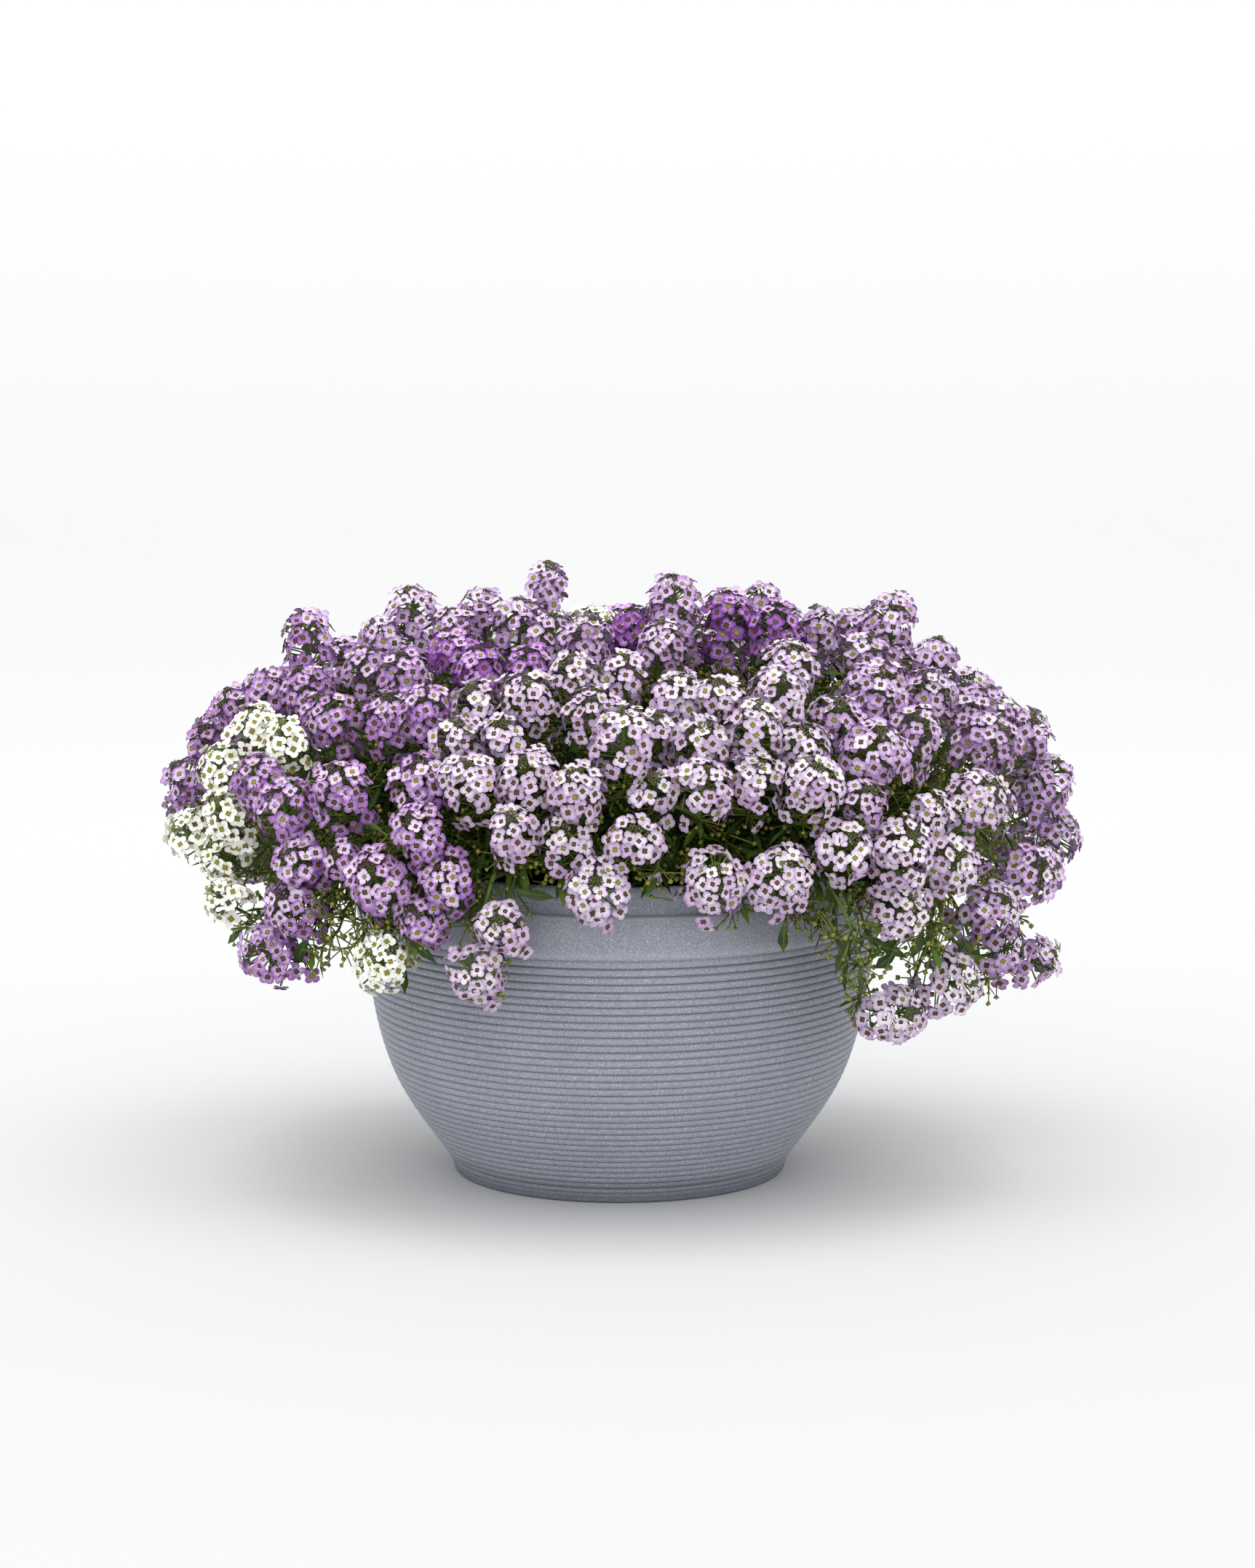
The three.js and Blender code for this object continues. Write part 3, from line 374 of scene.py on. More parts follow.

# The grooves, the foot and the collar are painted darker than the crests: painted shade in the grooves, more
# of it towards the top under the plant, painted shade round the foot, and a painted shadow of the flowers on
# the collar. The ledge's edge and the band's lower edge get a pale painted highlight.
band_edge, band_edge_half, band_out = 128.2 * MM, 1.6 * MM, 126.4 * MM
foot_dark, foot_light, foot_share = 4 * MM, 14 * MM, 0.6
collar_share, ledge_share, edge_share = 0.09, 0.6, 0.13
places = np.zeros(len(cut_mesh.vertices) * 3)
cut_mesh.vertices.foreach_get("co", places)
places = places.reshape(-1, 3)
height, from_axis = places[:, 2], np.hypot(places[:, 0], places[:, 1])
crest = np.interp(height, bowl[:, 1], bowl[:, 0])
on_ribs = (height > bowl[0, 1]) & (height < bowl[-1, 1]) & (from_axis > crest - wall * 0.7)
groove_shade = np.interp(height, [8 * MM, 20 * MM, 120 * MM], [0.5, 0.42, 0.72])
painted_shade = np.clip((crest - from_axis) / rib_depth, 0, 1) * on_ribs * groove_shade
foot_shade = foot_share * np.clip((foot_light - height) / (foot_light - foot_dark), 0, 1)
painted_shade += foot_shade * (1 - painted_shade)
# The collar gets a painted shadow of the flowers above it.
painted_shade = np.maximum(painted_shade, collar_share * (height > ledge_height + 0.3 * MM))
# Painted highlight along the ledge's edge and the band's lower edge, where light catches them.
on_ledge = (height > ledge_height - 1.2 * MM) & (height < ledge_height + 0.05 * MM)
painted_highlight = ledge_share * (on_ledge & (from_axis > collar_radius + 0.3 * MM))
painted_highlight += edge_share * (np.abs(height - band_edge) < band_edge_half) * (from_axis > band_out)
for mark, values in (("painted_shade", painted_shade), ("painted_highlight", painted_highlight)):
    cut_mesh.attributes.new(mark, "FLOAT", "POINT").data.foreach_set("value", values.astype(np.float32))
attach(pot, "root")
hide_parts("pot")

# ------------------------------------------------------------------------------------------------------------
# The compost: dark damp peat that fills the pot to just under its rim and is crumbly on top. The three
# plants root in it, and loose crumbs of peat and bark lie on it.
# ------------------------------------------------------------------------------------------------------------
soil_top, soil_edge, soil_sag, soil_bottom = 149 * MM, 120 * MM, 4 * MM, 5.6 * MM
soil_gap, soil_rings, soil_sides = 0.5 * MM, 20, 72
upright_from, upright_to = 128.5 * MM, 144 * MM
soil_profile = [(0, soil_bottom), (inner_bowl[-1][0] - 5 * MM, soil_bottom)]
soil_profile += [(p[0] - soil_gap, p[1]) for p in reversed(inner_bowl)]
soil_profile += [(soil_edge, upright_from), (soil_edge, upright_to)]
soil_shares = np.linspace(0.995, 0.02, soil_rings)
soil_profile += [(soil_edge * share, soil_top - soil_sag * share**6) for share in soil_shares]
soil_profile += [(0, soil_top)]
soil_points, soil_faces = lathe(soil_profile, np.linspace(-math.pi, math.pi, soil_sides, endpoint=False))
draw = np.random.default_rng(21)
on_top = soil_points[:, 2] > upright_to + 0.5 * MM
soil_points[on_top, 2] += draw.normal(0, 0.7 * MM, on_top.sum())

crumb_corners = np.array([(1, 0, 0), (-1, 0, 0), (0, 1, 0), (0, -1, 0), (0, 0, 1), (0, 0, -1)], float)
crumb_faces = np.array([(0, 2, 4), (2, 1, 4), (1, 3, 4), (3, 0, 4),
                        (2, 0, 5), (1, 2, 5), (3, 1, 5), (0, 3, 5)])
# Each crumb is eight-sided, flattened or drawn out by chance.
crumb_count = 800
crumb_out = soil_edge * 0.97 * np.sqrt(draw.random(crumb_count))
crumb_turn = draw.random(crumb_count) * 2 * math.pi
crumb_at = np.stack([crumb_out * np.cos(crumb_turn), crumb_out * np.sin(crumb_turn),
                     soil_top - soil_sag * (crumb_out / soil_edge) ** 6 + 0.3 * MM], axis=1)
crumb_size = draw.uniform(0.7, 2.4, (crumb_count, 1, 3)) * MM
crumbs = crumb_at[:, None] + crumb_corners[None] * crumb_size * draw.uniform(0.6, 1.2, (crumb_count, 6, 1))


def copies(faces, count, step):
    """The faces of that many copies of one small mesh, whose copies follow each other by step points."""
    faces = np.asarray(faces)
    return (faces[None] + np.arange(count)[:, None, None] * step).reshape(-1, faces.shape[1])


peat = finish_of("Damp Peat", Roughness=0.95)
peat_tone = peat.mix(peat.use(fine_grain, Scale=320.0, Low=0.35, High=0.7)["Share"], paint(26, 19, 14),
                     paint(74, 56, 42))
peat.relief(peat.use(fine_grain, Scale=900.0)["Height"], 0.5, 0.0008)
soil_all = np.vstack([soil_points, crumbs.reshape(-1, 3)])
soil_faces += (copies(crumb_faces, crumb_count, 6) + len(soil_points)).tolist()
compost = piece_of("compost", soil_all, soil_faces, [peat.finish(peat_tone)])
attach(compost, "root")
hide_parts("potting_soil")

# ------------------------------------------------------------------------------------------------------------
# The flower heads: domes and short columns of tiny four-petalled florets, in sprays of one colour. Each grows
# at the end of its own stem, and they crowd together on a wide mound. Their places are in millimetres.
# ------------------------------------------------------------------------------------------------------------
# The front heads are set out as seen from one eye point, in a plane across the plant at the aim point.
eye_point = (4.0, -2665.0, 621.0)
aim_point = (4.0, 0.0, 189.0)
aim_up = 186.0
# The mound is squarer than an ellipsoid. Its half sizes are across, deep, and up and down from its widest
# level. Its back rises less.
mound_x, mound_y, mound_up, mound_back, mound_down = 208.0, 154.0, 112.0, 94.0, 105.0
mound_level, mound_power, mound_crest = 162.0, 2.5, -18.0

# Each front head is (across, up, radius, length), as it is seen from the eye point.
front_sprays = [
    ("violet", [(-149, 256, 11.5, 36), (-152, 229, 12.5, 26), (-140, 214, 13, 28), (-169, 230, 12, 24),
                (-187, 222, 10.5, 21)]),
    ("violet", [(-199, 205, 10, 20), (-208, 189, 10.5, 23)]),
    ("white", [(-160, 207, 10.5, 20), (-177, 212, 12, 23), (-191, 193, 11.5, 26), (-190, 171, 11, 22)]),
    ("violet", [(-174, 188, 12.5, 25), (-161, 173, 13.5, 28), (-135, 183, 13.5, 28)]),
    ("violet", [(-94, 187, 13, 26), (-97, 165, 12, 24)]),
    ("white", [(-208, 163, 12, 24), (-188, 149, 12.5, 24), (-190, 130, 11, 23)]),
    ("violet", [(-156, 149, 11, 20), (-158, 128, 13, 26), (-169, 104, 14, 27), (-133, 149, 9, 17),
                (-117, 140, 14, 30)]),
    ("violet", [(-84, 140, 12.5, 24), (-97, 121, 10, 20)]),
    ("white", [(-115, 101, 12.5, 24)]),
    ("lilac", [(-116, 255, 9.5, 26), (-124, 240, 10.5, 24), (-97, 266, 12, 34), (-80, 261, 9, 22)]),
    ("violet", [(-104, 240, 11.5, 23), (-109, 217, 12.5, 27), (-92, 222, 11, 22)]),
    ("purple", [(-80, 248, 12, 26), (-67, 240, 12, 26), (-43, 242, 11, 22)]),
    ("lilac", [(-67, 269, 10, 24), (-50, 262, 11.5, 28), (-34, 279, 9.5, 32), (-31, 257, 11, 24),
               (-16, 256, 11, 24)]),
    ("pale", [(-46, 226, 13.5, 26), (-71, 224, 11, 22), (-78, 206, 11, 22), (-57, 208, 10, 18)]),
    ("pale", [(-25, 237, 11.5, 25), (-12, 219, 13, 28), (3, 239, 11, 22)]),
    ("purple", [(5, 261, 10, 23)]),
    ("lilac", [(27, 272, 13, 36), (19, 251, 11.5, 24)]),
    ("purple", [(53, 267, 12, 28), (77, 261, 12.5, 26)]),
    ("lilac", [(67, 273, 9, 20)]),
    ("pale", [(4, 205, 14, 34), (19, 211, 10, 20), (17, 186, 10.5, 19), (40, 186, 12.5, 24)]),
    ("pale", [(30, 227, 13.5, 26), (48, 226, 10.5, 19), (56, 211, 12.5, 25), (38, 205, 12, 24)]),
    ("pale", [(-73, 189, 12.5, 24), (-44, 188, 14.5, 29), (-50, 165, 11, 24)]),
    ("pale", [(-23, 182, 12.5, 26), (-27, 159, 12.5, 25), (-13, 132, 14.5, 28), (9, 160, 13, 25)]),
    ("pale", [(-56, 120, 11.5, 23), (-71, 93, 12.5, 26)]),
    ("pale", [(46, 139, 14.5, 30), (76, 140, 15.5, 32)]),
    ("pale", [(82, 243, 13.5, 24), (78, 226, 14.5, 27), (63, 214, 12.5, 24)]),
    ("lilac", [(132, 263, 13, 34), (118, 246, 11.5, 23), (111, 260, 10.5, 23), (98, 261, 9.5, 22)]),
    ("lilac", [(151, 246, 10.5, 28), (150, 227, 11.5, 24)]),
    ("lilac", [(126, 230, 15.5, 30), (141, 212, 12, 24), (105, 216, 11.5, 22), (123, 200, 15.5, 30),
               (119, 180, 10, 18)]),
    ("pale", [(88, 205, 12.5, 22), (92, 187, 13.5, 27), (68, 188, 12.5, 24)]),
    ("lilac", [(174, 225, 14, 22), (178, 206, 14.5, 28), (200, 207, 11.5, 23), (205, 187, 14, 29),
               (209, 162, 13, 27)]),
    ("pale", [(173, 177, 15, 31), (150, 170, 10.5, 20)]),
    ("pale", [(112, 156, 13.5, 25), (135, 154, 14.5, 28), (158, 147, 13.5, 28), (136, 127, 14, 24)]),
    ("lilac", [(200, 143, 14.5, 28), (178, 125, 13.5, 26), (184, 105, 12.5, 23), (201, 101, 12, 26)]),
    ("pale", [(160, 90, 14.5, 29), (134, 76, 14.5, 30)]),
]
# The back of the mound is in bands: how many sprays, and rows of (rise, heads, first turn, last turn), where
# the rise and the turns are in degrees.
back_bands = [(7, [(-12, 15, 12, 152), (7, 16, 7, 173)]), (7, [(24, 16, 7, 173), (40, 14, 7, 173)]),
              (5, [(54, 10, 7, 173), (67, 8, 7, 173)]), (2, [(79, 6, 7, 173), (90, 2, 7, 173)])]
back_tones = ["violet", "lilac", "pale", "lilac", "purple", "violet", "pale", "white"]


def seeded(seed):
    """A source of even random numbers from 0 to 1, the same on every run."""
    state = seed

    def draw_one():
        nonlocal state
        state = (state + 0x6D2B79F5) & 0xFFFFFFFF
        t = ((state ^ (state >> 15)) * (state | 1)) & 0xFFFFFFFF
        t ^= (t + (t ^ (t >> 7)) * (t | 61)) & 0xFFFFFFFF
        return (t ^ (t >> 14)) / 4294967296

    return draw_one


def length_of(v):
    return math.sqrt(v[0] * v[0] + v[1] * v[1] + v[2] * v[2])


def unit(v):
    size = length_of(v)
    return [c / size for c in v]


view_way = unit([a - e for a, e in zip(aim_point, eye_point)])


def on_mound(across, up):
    """Where the line of sight first meets the mound, or comes nearest to it in front of its crest."""
    target = [across, aim_point[1] - view_way[2] * (up - aim_up), aim_point[2] + view_way[1] * (up - aim_up)]
    line = unit([t - e for t, e in zip(target, eye_point)])
    nearest, farthest, stride = 2400, 3000, 2
    best, least = None, math.inf
    for along in range(nearest, farthest, stride):
        p = [e + c * along for e, c in zip(eye_point, line)]
        high = (p[2] - mound_level) / (mound_down if p[2] < mound_level else mound_up)
        share = sum(abs(c) ** mound_power for c in (p[0] / mound_x, p[1] / mound_y, high))
        if share < least:
            best, least = p, share
        if share <= 1 or (p[1] > mound_crest and p[2] > mound_level):
            break
    return best


heads = []
for spray, (tone, group) in enumerate(front_sprays):
    for across, up, radius, length in group:
        place = on_mound(across, up)
        heads.append({"place": place, "home": list(place), "radius": radius, "half": length / 2,
                      "spray": spray, "seen": (across, up)})
# The back heads stand at even turns and rises, each a little off its spot.
off_turn, off_rise = 0.6, 13
least_radius, radius_range = 12.5, 3.5
random = seeded(11)
first_spray = len(front_sprays)
for spray_count, rows in back_bands:
    for rise, count, first_turn, last_turn in rows:
        for i in range(count):
            share = (i + 0.5 + (random() - 0.5) * off_turn) / count
            turn = math.radians(first_turn + (last_turn - first_turn) * share)
            lift = math.radians(rise + (random() - 0.5) * off_rise)
            radius = least_radius + radius_range * random()
            length = radius * (1.9 + 0.3 * random())
            out = [math.cos(turn) * math.cos(lift), math.sin(turn) * math.cos(lift), math.sin(lift)]
            size = sum(abs(c) ** mound_power for c in out) ** (-1 / mound_power)
            high = mound_down if lift < 0 else mound_back
            place = [mound_x * out[0] * size, mound_y * out[1] * size, high * out[2] * size + mound_level]
            heads.append({"place": place, "home": list(place), "radius": radius, "half": length / 2,
                          "spray": first_spray + int(share * spray_count), "seen": None})
    first_spray += spray_count


def out_of_mound(head):
    x, y, z = head["place"]
    return unit([x / mound_x**2, y / mound_y**2, max(z - mound_level, 0) / mound_up**2])


def axis_of(head):
    """A head points out of the mound and up, more so the taller it is, and hardly at all where it trails."""
    trailing, standing_over, trailing_up = 95, 60, 0.1
    out = out_of_mound(head)
    upright = min(max(0.55 + (head["half"] / head["radius"] - 1) * 1.6, 0.45), 1.6)
    standing = min(max((head["place"][2] - trailing) / standing_over, 0), 1)
    return unit([out[0], out[1], out[2] + trailing_up + (upright - trailing_up) * standing])


def reach(head, way):
    """How far a head reaches in that direction."""
    along = sum(a * b for a, b in zip(head["axis"], way)) ** 2
    return math.sqrt(along * head["half"] ** 2 + (1 - along) * head["radius"] ** 2)


# The heads are nudged until all stand clear of each other and of the pot, next to the others of their spray.
nudges, give, homing = 240, 0.45, 0.08
head_gap, far_apart = 0.5, 60
rim_radius, rim_height = 127, 160.5
for i, head in enumerate(heads):
    own = [other for other in heads[:i] if other["spray"] == head["spray"]]
    head["partner"] = min(own, key=lambda other: math.dist(other["home"], head["home"]), default=None)
for nudge in range(nudges):
    for head in heads:
        head["axis"] = axis_of(head)
    for i, a in enumerate(heads):
        pa, partner = a["place"], a["partner"]
        for b in heads[:i]:
            pb = b["place"]
            dx, dy, dz = pa[0] - pb[0], pa[1] - pb[1], pa[2] - pb[2]
            apart = dx * dx + dy * dy + dz * dz
            if apart > far_apart**2 and partner is not b:
                continue
            apart = math.sqrt(apart)
            way = (dx / apart, dy / apart, dz / apart)
            wanted = reach(a, way) + reach(b, way) + head_gap
            if apart > wanted and partner is not b:
                continue
            move = (wanted - apart) * give
            for k in range(3):
                pa[k] += way[k] * move
                pb[k] -= way[k] * move
    for head in heads:
        place = head["place"]
        back = [h - p for h, p in zip(head["home"], place)]
        deep = 0.85 * sum(b * v for b, v in zip(back, view_way))
        for k in range(3):
            place[k] += (back[k] - deep * view_way[k]) * homing * (1 - nudge / nudges)
        clear = rim_radius + head["radius"] + 6
        from_axis = math.hypot(place[0], place[1])
        if place[2] < rim_height + head["radius"] + 2 and from_axis < clear:
            place[0] *= clear / from_axis
            place[1] *= clear / from_axis
for head in heads:
    head["axis"] = axis_of(head)
    head["at"] = np.array(head["place"]) * MM
    head["up"] = np.array(head["axis"])
    head["out"] = np.array(out_of_mound(head))


def frames_on(ways, turns):
    """Three axes for each direction, the third along it, turned about it."""
    helper = np.where(np.abs(ways[:, 2:3]) < 0.9, [[0.0, 0.0, 1.0]], [[1.0, 0.0, 0.0]])
    side = np.cross(helper, ways)
    side /= np.linalg.norm(side, axis=1)[:, None]
    across = np.cross(ways, side)
    c, s = np.cos(turns)[:, None], np.sin(turns)[:, None]
    return np.stack([side * c + across * s, across * c - side * s, ways], axis=1)


def set_out(shapes, frames, origins):
    """Small shapes in their own axes, moved to where they grow."""
    return origins[:, None] + np.einsum("nki,nij->nkj", shapes, frames)


golden = math.pi * (3 - math.sqrt(5))
floret_spacing, floret_radius = 6.45, 4.25 * MM
hexagon_share = 0.866  # the room that a floret takes, as a share of its spacing squared
bud_cap, lowest_floret, loose_from = 0.3, 2.0, 1.05  # turns from a head's top, in radians
hanging_low, standing_high, hanging_open, standing_open = 150 * MM, 215 * MM, 0.5, 0.12
polar_scatter, turn_scatter, facing_scatter = 0.07, 0.16, 0.24
two_lobes, three_lobes = 0.1, 0.07  # how far a head is from round
loose_sink, loose_drop, face_up = 2.6, 4.0, 0.36
skirt_least, skirt_most, skirt_length = 4, 10, 6.0
young_over = 0.9
usual_pale, young_top_lit_pale, old_low_shaded_deeper, pale_scatter = 0.42, 0.35, 0.14, 0.17
least_outward = -0.35  # florets that face further into the mound are left out


def florets_of(head, more_open, draw):
    """Where a head's florets sit and face: a spiral down a dome and a column, then a loose skirt.

    The column is open on a head that hangs and nearly closed on one that stands high."""
    radius, half = head["radius"], head["half"]
    usual_radius, outline_steps, fewest_florets = 12, 200, 12
    start = bud_cap * usual_radius / radius
    polar = np.linspace(start, lowest_floret, outline_steps)
    wide, high = radius * np.sin(np.minimum(polar, math.pi / 2)), half * np.cos(polar)
    area = np.cumsum((wide[1:] + wide[:-1]) / 2 * np.hypot(np.diff(wide), np.diff(high)))
    area = np.concatenate([[0], area])
    count = max(int(2 * math.pi * area[-1] / (hexagon_share * floret_spacing**2)), fewest_florets)
    polar = np.interp((np.arange(count) + 0.5) / count * area[-1], area, polar)
    polar += draw.normal(0, polar_scatter, count)
    turn = np.arange(count) * golden + draw.normal(0, turn_scatter, count) + draw.random() * 6
    side, across, up = frames_on(head["up"][None], np.zeros(1))[0]
    around = side * np.cos(turn)[:, None] + across * np.sin(turn)[:, None]
    flat = np.minimum(polar, math.pi / 2)
    face = around * (np.sin(flat) / radius)[:, None] + up * (np.cos(flat) / half)[:, None]
    face /= np.linalg.norm(face, axis=1)[:, None]
    loose = np.clip(polar - loose_from, 0, 1)
    lump = draw.random(2) * 2 * math.pi
    bulge = 1 + two_lobes * np.sin(2 * turn + lump[0]) + three_lobes * np.sin(3 * turn + lump[1])
    around = around * bulge[:, None]
    spot = around * (radius * np.sin(flat))[:, None] + up * (half * np.cos(polar))[:, None]
    spot -= face * (draw.uniform(-0.7, 1.8, count) + loose_sink * loose * draw.random(count))[:, None]
    spot[:, 2] -= loose_drop * loose * draw.random(count)

    skirt = int(draw.integers(skirt_least, skirt_most))
    skirt_turn = draw.random(skirt) * 2 * math.pi
    skirt_around = side * np.cos(skirt_turn)[:, None] + across * np.sin(skirt_turn)[:, None]
    drop = draw.uniform(0.45, 1.05, skirt)[:, None]
    skirt_spot = skirt_around * radius * draw.uniform(0.65, 1.0, (skirt, 1))
    skirt_spot -= up * (half + skirt_length) * drop
    spot = np.vstack([spot, skirt_spot - [0, 0, 1.5]])
    face = np.vstack([face + up * face_up, skirt_around + up * draw.uniform(-0.25, 0.3, (skirt, 1))])
    face += draw.normal(0, facing_scatter, face.shape)
    face /= np.linalg.norm(face, axis=1)[:, None]
    youth = np.concatenate([np.clip(1 - (polar - start) / young_over, 0, 1), np.zeros(skirt)])
    # Paleness: the young florets high on a head are paler, and the low ones and the skirt deeper, partly for
    # their age and partly as painted light above and painted shade below.
    paleness = usual_pale + young_top_lit_pale * youth - old_low_shaded_deeper * np.concatenate([loose, np.ones(skirt)])
    paleness += draw.normal(0, pale_scatter, len(youth))
    openness = np.interp(head["at"][2], [hanging_low, standing_high], [hanging_open, standing_open])
    openness += more_open
    shown = draw.random(len(youth)) > openness * np.concatenate([loose, np.zeros(skirt)])
    turned_out = (face @ head["out"] > least_outward) & shown
    found = {"spot": head["at"] + spot * MM, "face": face, "youth": youth, "pale": np.clip(paleness, 0, 1)}
    found = {name: values[turned_out] for name, values in found.items()}
    found["count"] = int(turned_out.sum())
    found["turn"] = draw.random(found["count"]) * 2 * math.pi
    return found


# One petal lies along x: broad from the start and round at its end, cupped along its middle. Each row is how
# far out its edges and its middle lie, its half width, and how near the rim it counts.
petal_rows = [(0.2, 0.2, 0.24, 0.0), (0.6, 0.6, 0.49, 0.4), (0.94, 1.04, 0.27, 0.95)]
petal_points, petal_marks = [], []
for edge_out, middle_out, half_width, near_rim in petal_rows:
    for side in (-1, 0, 1):
        petal_points.append((edge_out if side else middle_out, side * half_width, 0.08 * abs(side)))
        petal_marks.append(min(near_rim + 0.42 * abs(side), 1.0))
petal_points, petal_marks = np.array(petal_points), np.array(petal_marks)
petal_size = len(petal_points)
petal_faces = []
for row in (0, 3):
    for k in (0, 1):
        petal_faces += [(row + k, row + 3 + k, row + 4 + k), (row + k, row + 4 + k, row + 1 + k)]
young_smaller, young_cup, flat_cup, cup_scatter = 0.2, 0.34, 0.08, 0.1
bends_from, bend_down, overlap = 0.6, 0.2, 0.02


def corollas(florets, draw):
    """The four petals of every floret, cupped while young and spread flat later."""
    count = florets["count"]
    shapes = np.zeros((count, 4 * petal_size, 3))
    size = floret_radius * (1.0 - young_smaller * florets["youth"]) * draw.uniform(0.88, 1.08, count)
    cup = flat_cup + young_cup * florets["youth"] + draw.normal(0, cup_scatter, count)
    for petal in range(4):
        turn = math.pi / 2 * petal + draw.normal(0, 0.08, count)
        long = draw.uniform(0.92, 1.06, count)
        lift = cup + draw.normal(0, 0.08, count)
        x = petal_points[None, :, 0] * long[:, None]
        y = petal_points[None, :, 1] * draw.uniform(0.94, 1.08, count)[:, None]
        z = petal_points[None, :, 2] + x**1.5 * lift[:, None]
        z += overlap * (petal % 2) - bend_down * np.maximum(x - bends_from, 0)
        c, s = np.cos(turn)[:, None], np.sin(turn)[:, None]
        span = slice(petal_size * petal, petal_size * (petal + 1))
        shapes[:, span] = np.stack([x * c - y * s, x * s + y * c, z], axis=2)
    shapes *= size[:, None, None]
    frames = frames_on(florets["face"], florets["turn"])
    return set_out(shapes, frames, florets["spot"]), frames


# Petal flush: palest in the throat, flushed further out, and deeper along the rim of the less pale florets,
# the older ones low on a head, where the deeper tone is partly painted shade; with a light cloudy stain.
flushing = effect_of("Petal Flush",
                     [("Throat", "Color", paint(240, 235, 240)), ("Flush", "Color", paint(220, 200, 225)),
                      ("Deep", "Color", paint(180, 150, 190))],
                     [("Color", "Color"), ("Roughness", "Float"), ("Height", "Float")])
stain = flushing.use(fine_grain, Scale=420.0)["Share"]
out_share = flushing.sum("ADD", flushing.mark("near_rim"),
                         flushing.spread(flushing.mark("own"), 0.0, 1.0, 0.45, -0.55))
out_share = flushing.sum("ADD", out_share, flushing.spread(stain, 0.0, 1.0, -0.12, 0.12))
throat, flush, deep = (flushing.given[name] for name in ("Throat", "Flush", "Deep"))
petal_tone = flushing.mix(flushing.spread(out_share, 0.15, 0.7), throat, flush)
petal_tone = flushing.mix(flushing.spread(out_share, 0.85, 1.35), petal_tone, deep)
cloudy = flushing.use(fine_grain, Scale=55.0)["Share"]
petal_tone = flushing.mix(flushing.spread(cloudy, 0.0, 1.0, 0.1, 0.0), petal_tone, deep)
flushing.feed(flushing.results["Color"], petal_tone)
flushing.feed(flushing.results["Roughness"], flushing.spread(stain, 0.0, 1.0, 0.52, 0.72))
flushing.feed(flushing.results["Height"], flushing.use(fine_grain, Scale=1400.0)["Height"])

tone_paints = {  # throat, flush, deep along the rim
    "pale": [paint(231, 224, 231), paint(198, 174, 204), paint(162, 129, 174)],
    "lilac": [paint(228, 215, 232), paint(183, 150, 196), paint(139, 98, 155)],
    "violet": [paint(224, 203, 230), paint(166, 120, 183), paint(117, 72, 141)],
    "purple": [paint(214, 178, 226), paint(146, 86, 168), paint(90, 40, 118)],
    "white": [paint(241, 243, 220), paint(251, 251, 246), paint(236, 239, 217)],
}
petal_stuff = {}
for tone, (throat, flush, deep) in tone_paints.items():
    petal = finish_of(f"{tone.capitalize()} Petal", Specular_IOR_Level=0.25)
    flushed = petal.use(flushing.tree, Throat=throat, Flush=flush, Deep=deep)
    petal.feed(petal.shader.inputs["Roughness"], flushed["Roughness"])
    petal.relief(flushed["Height"], 0.15, 0.0002)
    petal_stuff[tone] = petal.finish(flushed["Color"])

light_tone_open = 0.16  # the palest heads are the most open
sprays_made = dict.fromkeys(tone_paints, 0)
sprays = []
for spray in range(first_spray):
    tone = front_sprays[spray][0] if spray < len(front_sprays) else back_tones[spray % len(back_tones)]
    sprays_made[tone] += 1
    more_open = light_tone_open if tone in ("pale", "white") else 0.0
    draw = np.random.default_rng(1000 + spray)
    points, marks, lots = [], [], []
    for head in [head for head in heads if head["spray"] == spray]:
        florets = florets_of(head, more_open, draw)
        corolla, axes = corollas(florets, draw)
        florets.update(axes=axes, head=head)
        points.append(corolla.reshape(-1, 3))
        lots.append(florets)
        marks.append(np.repeat(florets["pale"], 4 * petal_size))
    total = sum(florets["count"] for florets in lots) * 4
    petals = piece_of(f"{tone}_petals_{sprays_made[tone]}", np.vstack(points),
                      copies(petal_faces, total, petal_size), [petal_stuff[tone]],
                      own=np.concatenate(marks), near_rim=np.tile(petal_marks, total))
    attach(petals, "root")
    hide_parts(f"{tone}_heads_{sprays_made[tone]}")
    sprays.append({"tone": tone, "number": sprays_made[tone], "lots": lots})

# ------------------------------------------------------------------------------------------------------------
# The flower hearts, buds and stalks: each floret has a small dark star of a heart with a yellow-green pistil
# and four anthers, and a thread-like stalk to the head's stem. A knot of round buds closes each head's top.
# ------------------------------------------------------------------------------------------------------------


def rods(starts, ends, start_radius, end_radius, sides=3):
    """Slim open rods from point to point, all with that many sides."""
    ways = ends - starts
    ways /= np.linalg.norm(ways, axis=1)[:, None]
    frames = frames_on(ways, np.zeros(len(ways)))
    turns = np.arange(sides) * 2 * math.pi / sides
    ring = np.stack([np.cos(turns), np.sin(turns), np.zeros(sides)], axis=1)
    low = set_out(np.repeat(ring[None], len(ways), 0) * start_radius, frames, starts)
    high = set_out(np.repeat(ring[None], len(ways), 0) * end_radius, frames, ends)
    faces = [(k, (k + 1) % sides, sides + (k + 1) % sides) for k in range(sides)]
    faces += [(k, sides + (k + 1) % sides, sides + k) for k in range(sides)]
    return np.concatenate([low, high], axis=1), faces


def spindle(rings, sides):
    """A small closed body of (radius, height) rings between two points on its axis, for buds and pods."""
    turns = np.arange(sides) * 2 * math.pi / sides
    points = [(0, 0, rings[0][1])]
    for radius, height in rings[1:-1]:
        points += [(radius * math.cos(t), radius * math.sin(t), height) for t in turns]
    points.append((0, 0, rings[-1][1]))
    faces, last = [], len(points) - 1
    for k in range(sides):
        n = (k + 1) % sides
        faces += [(0, 1 + n, 1 + k), (last, last - sides + k, last - sides + n)]
        for ring in range(len(rings) - 3):
            low = 1 + ring * sides
            faces += [(low + k, low + n, low + sides + n), (low + k, low + sides + n, low + sides + k)]
    return np.array(points), faces


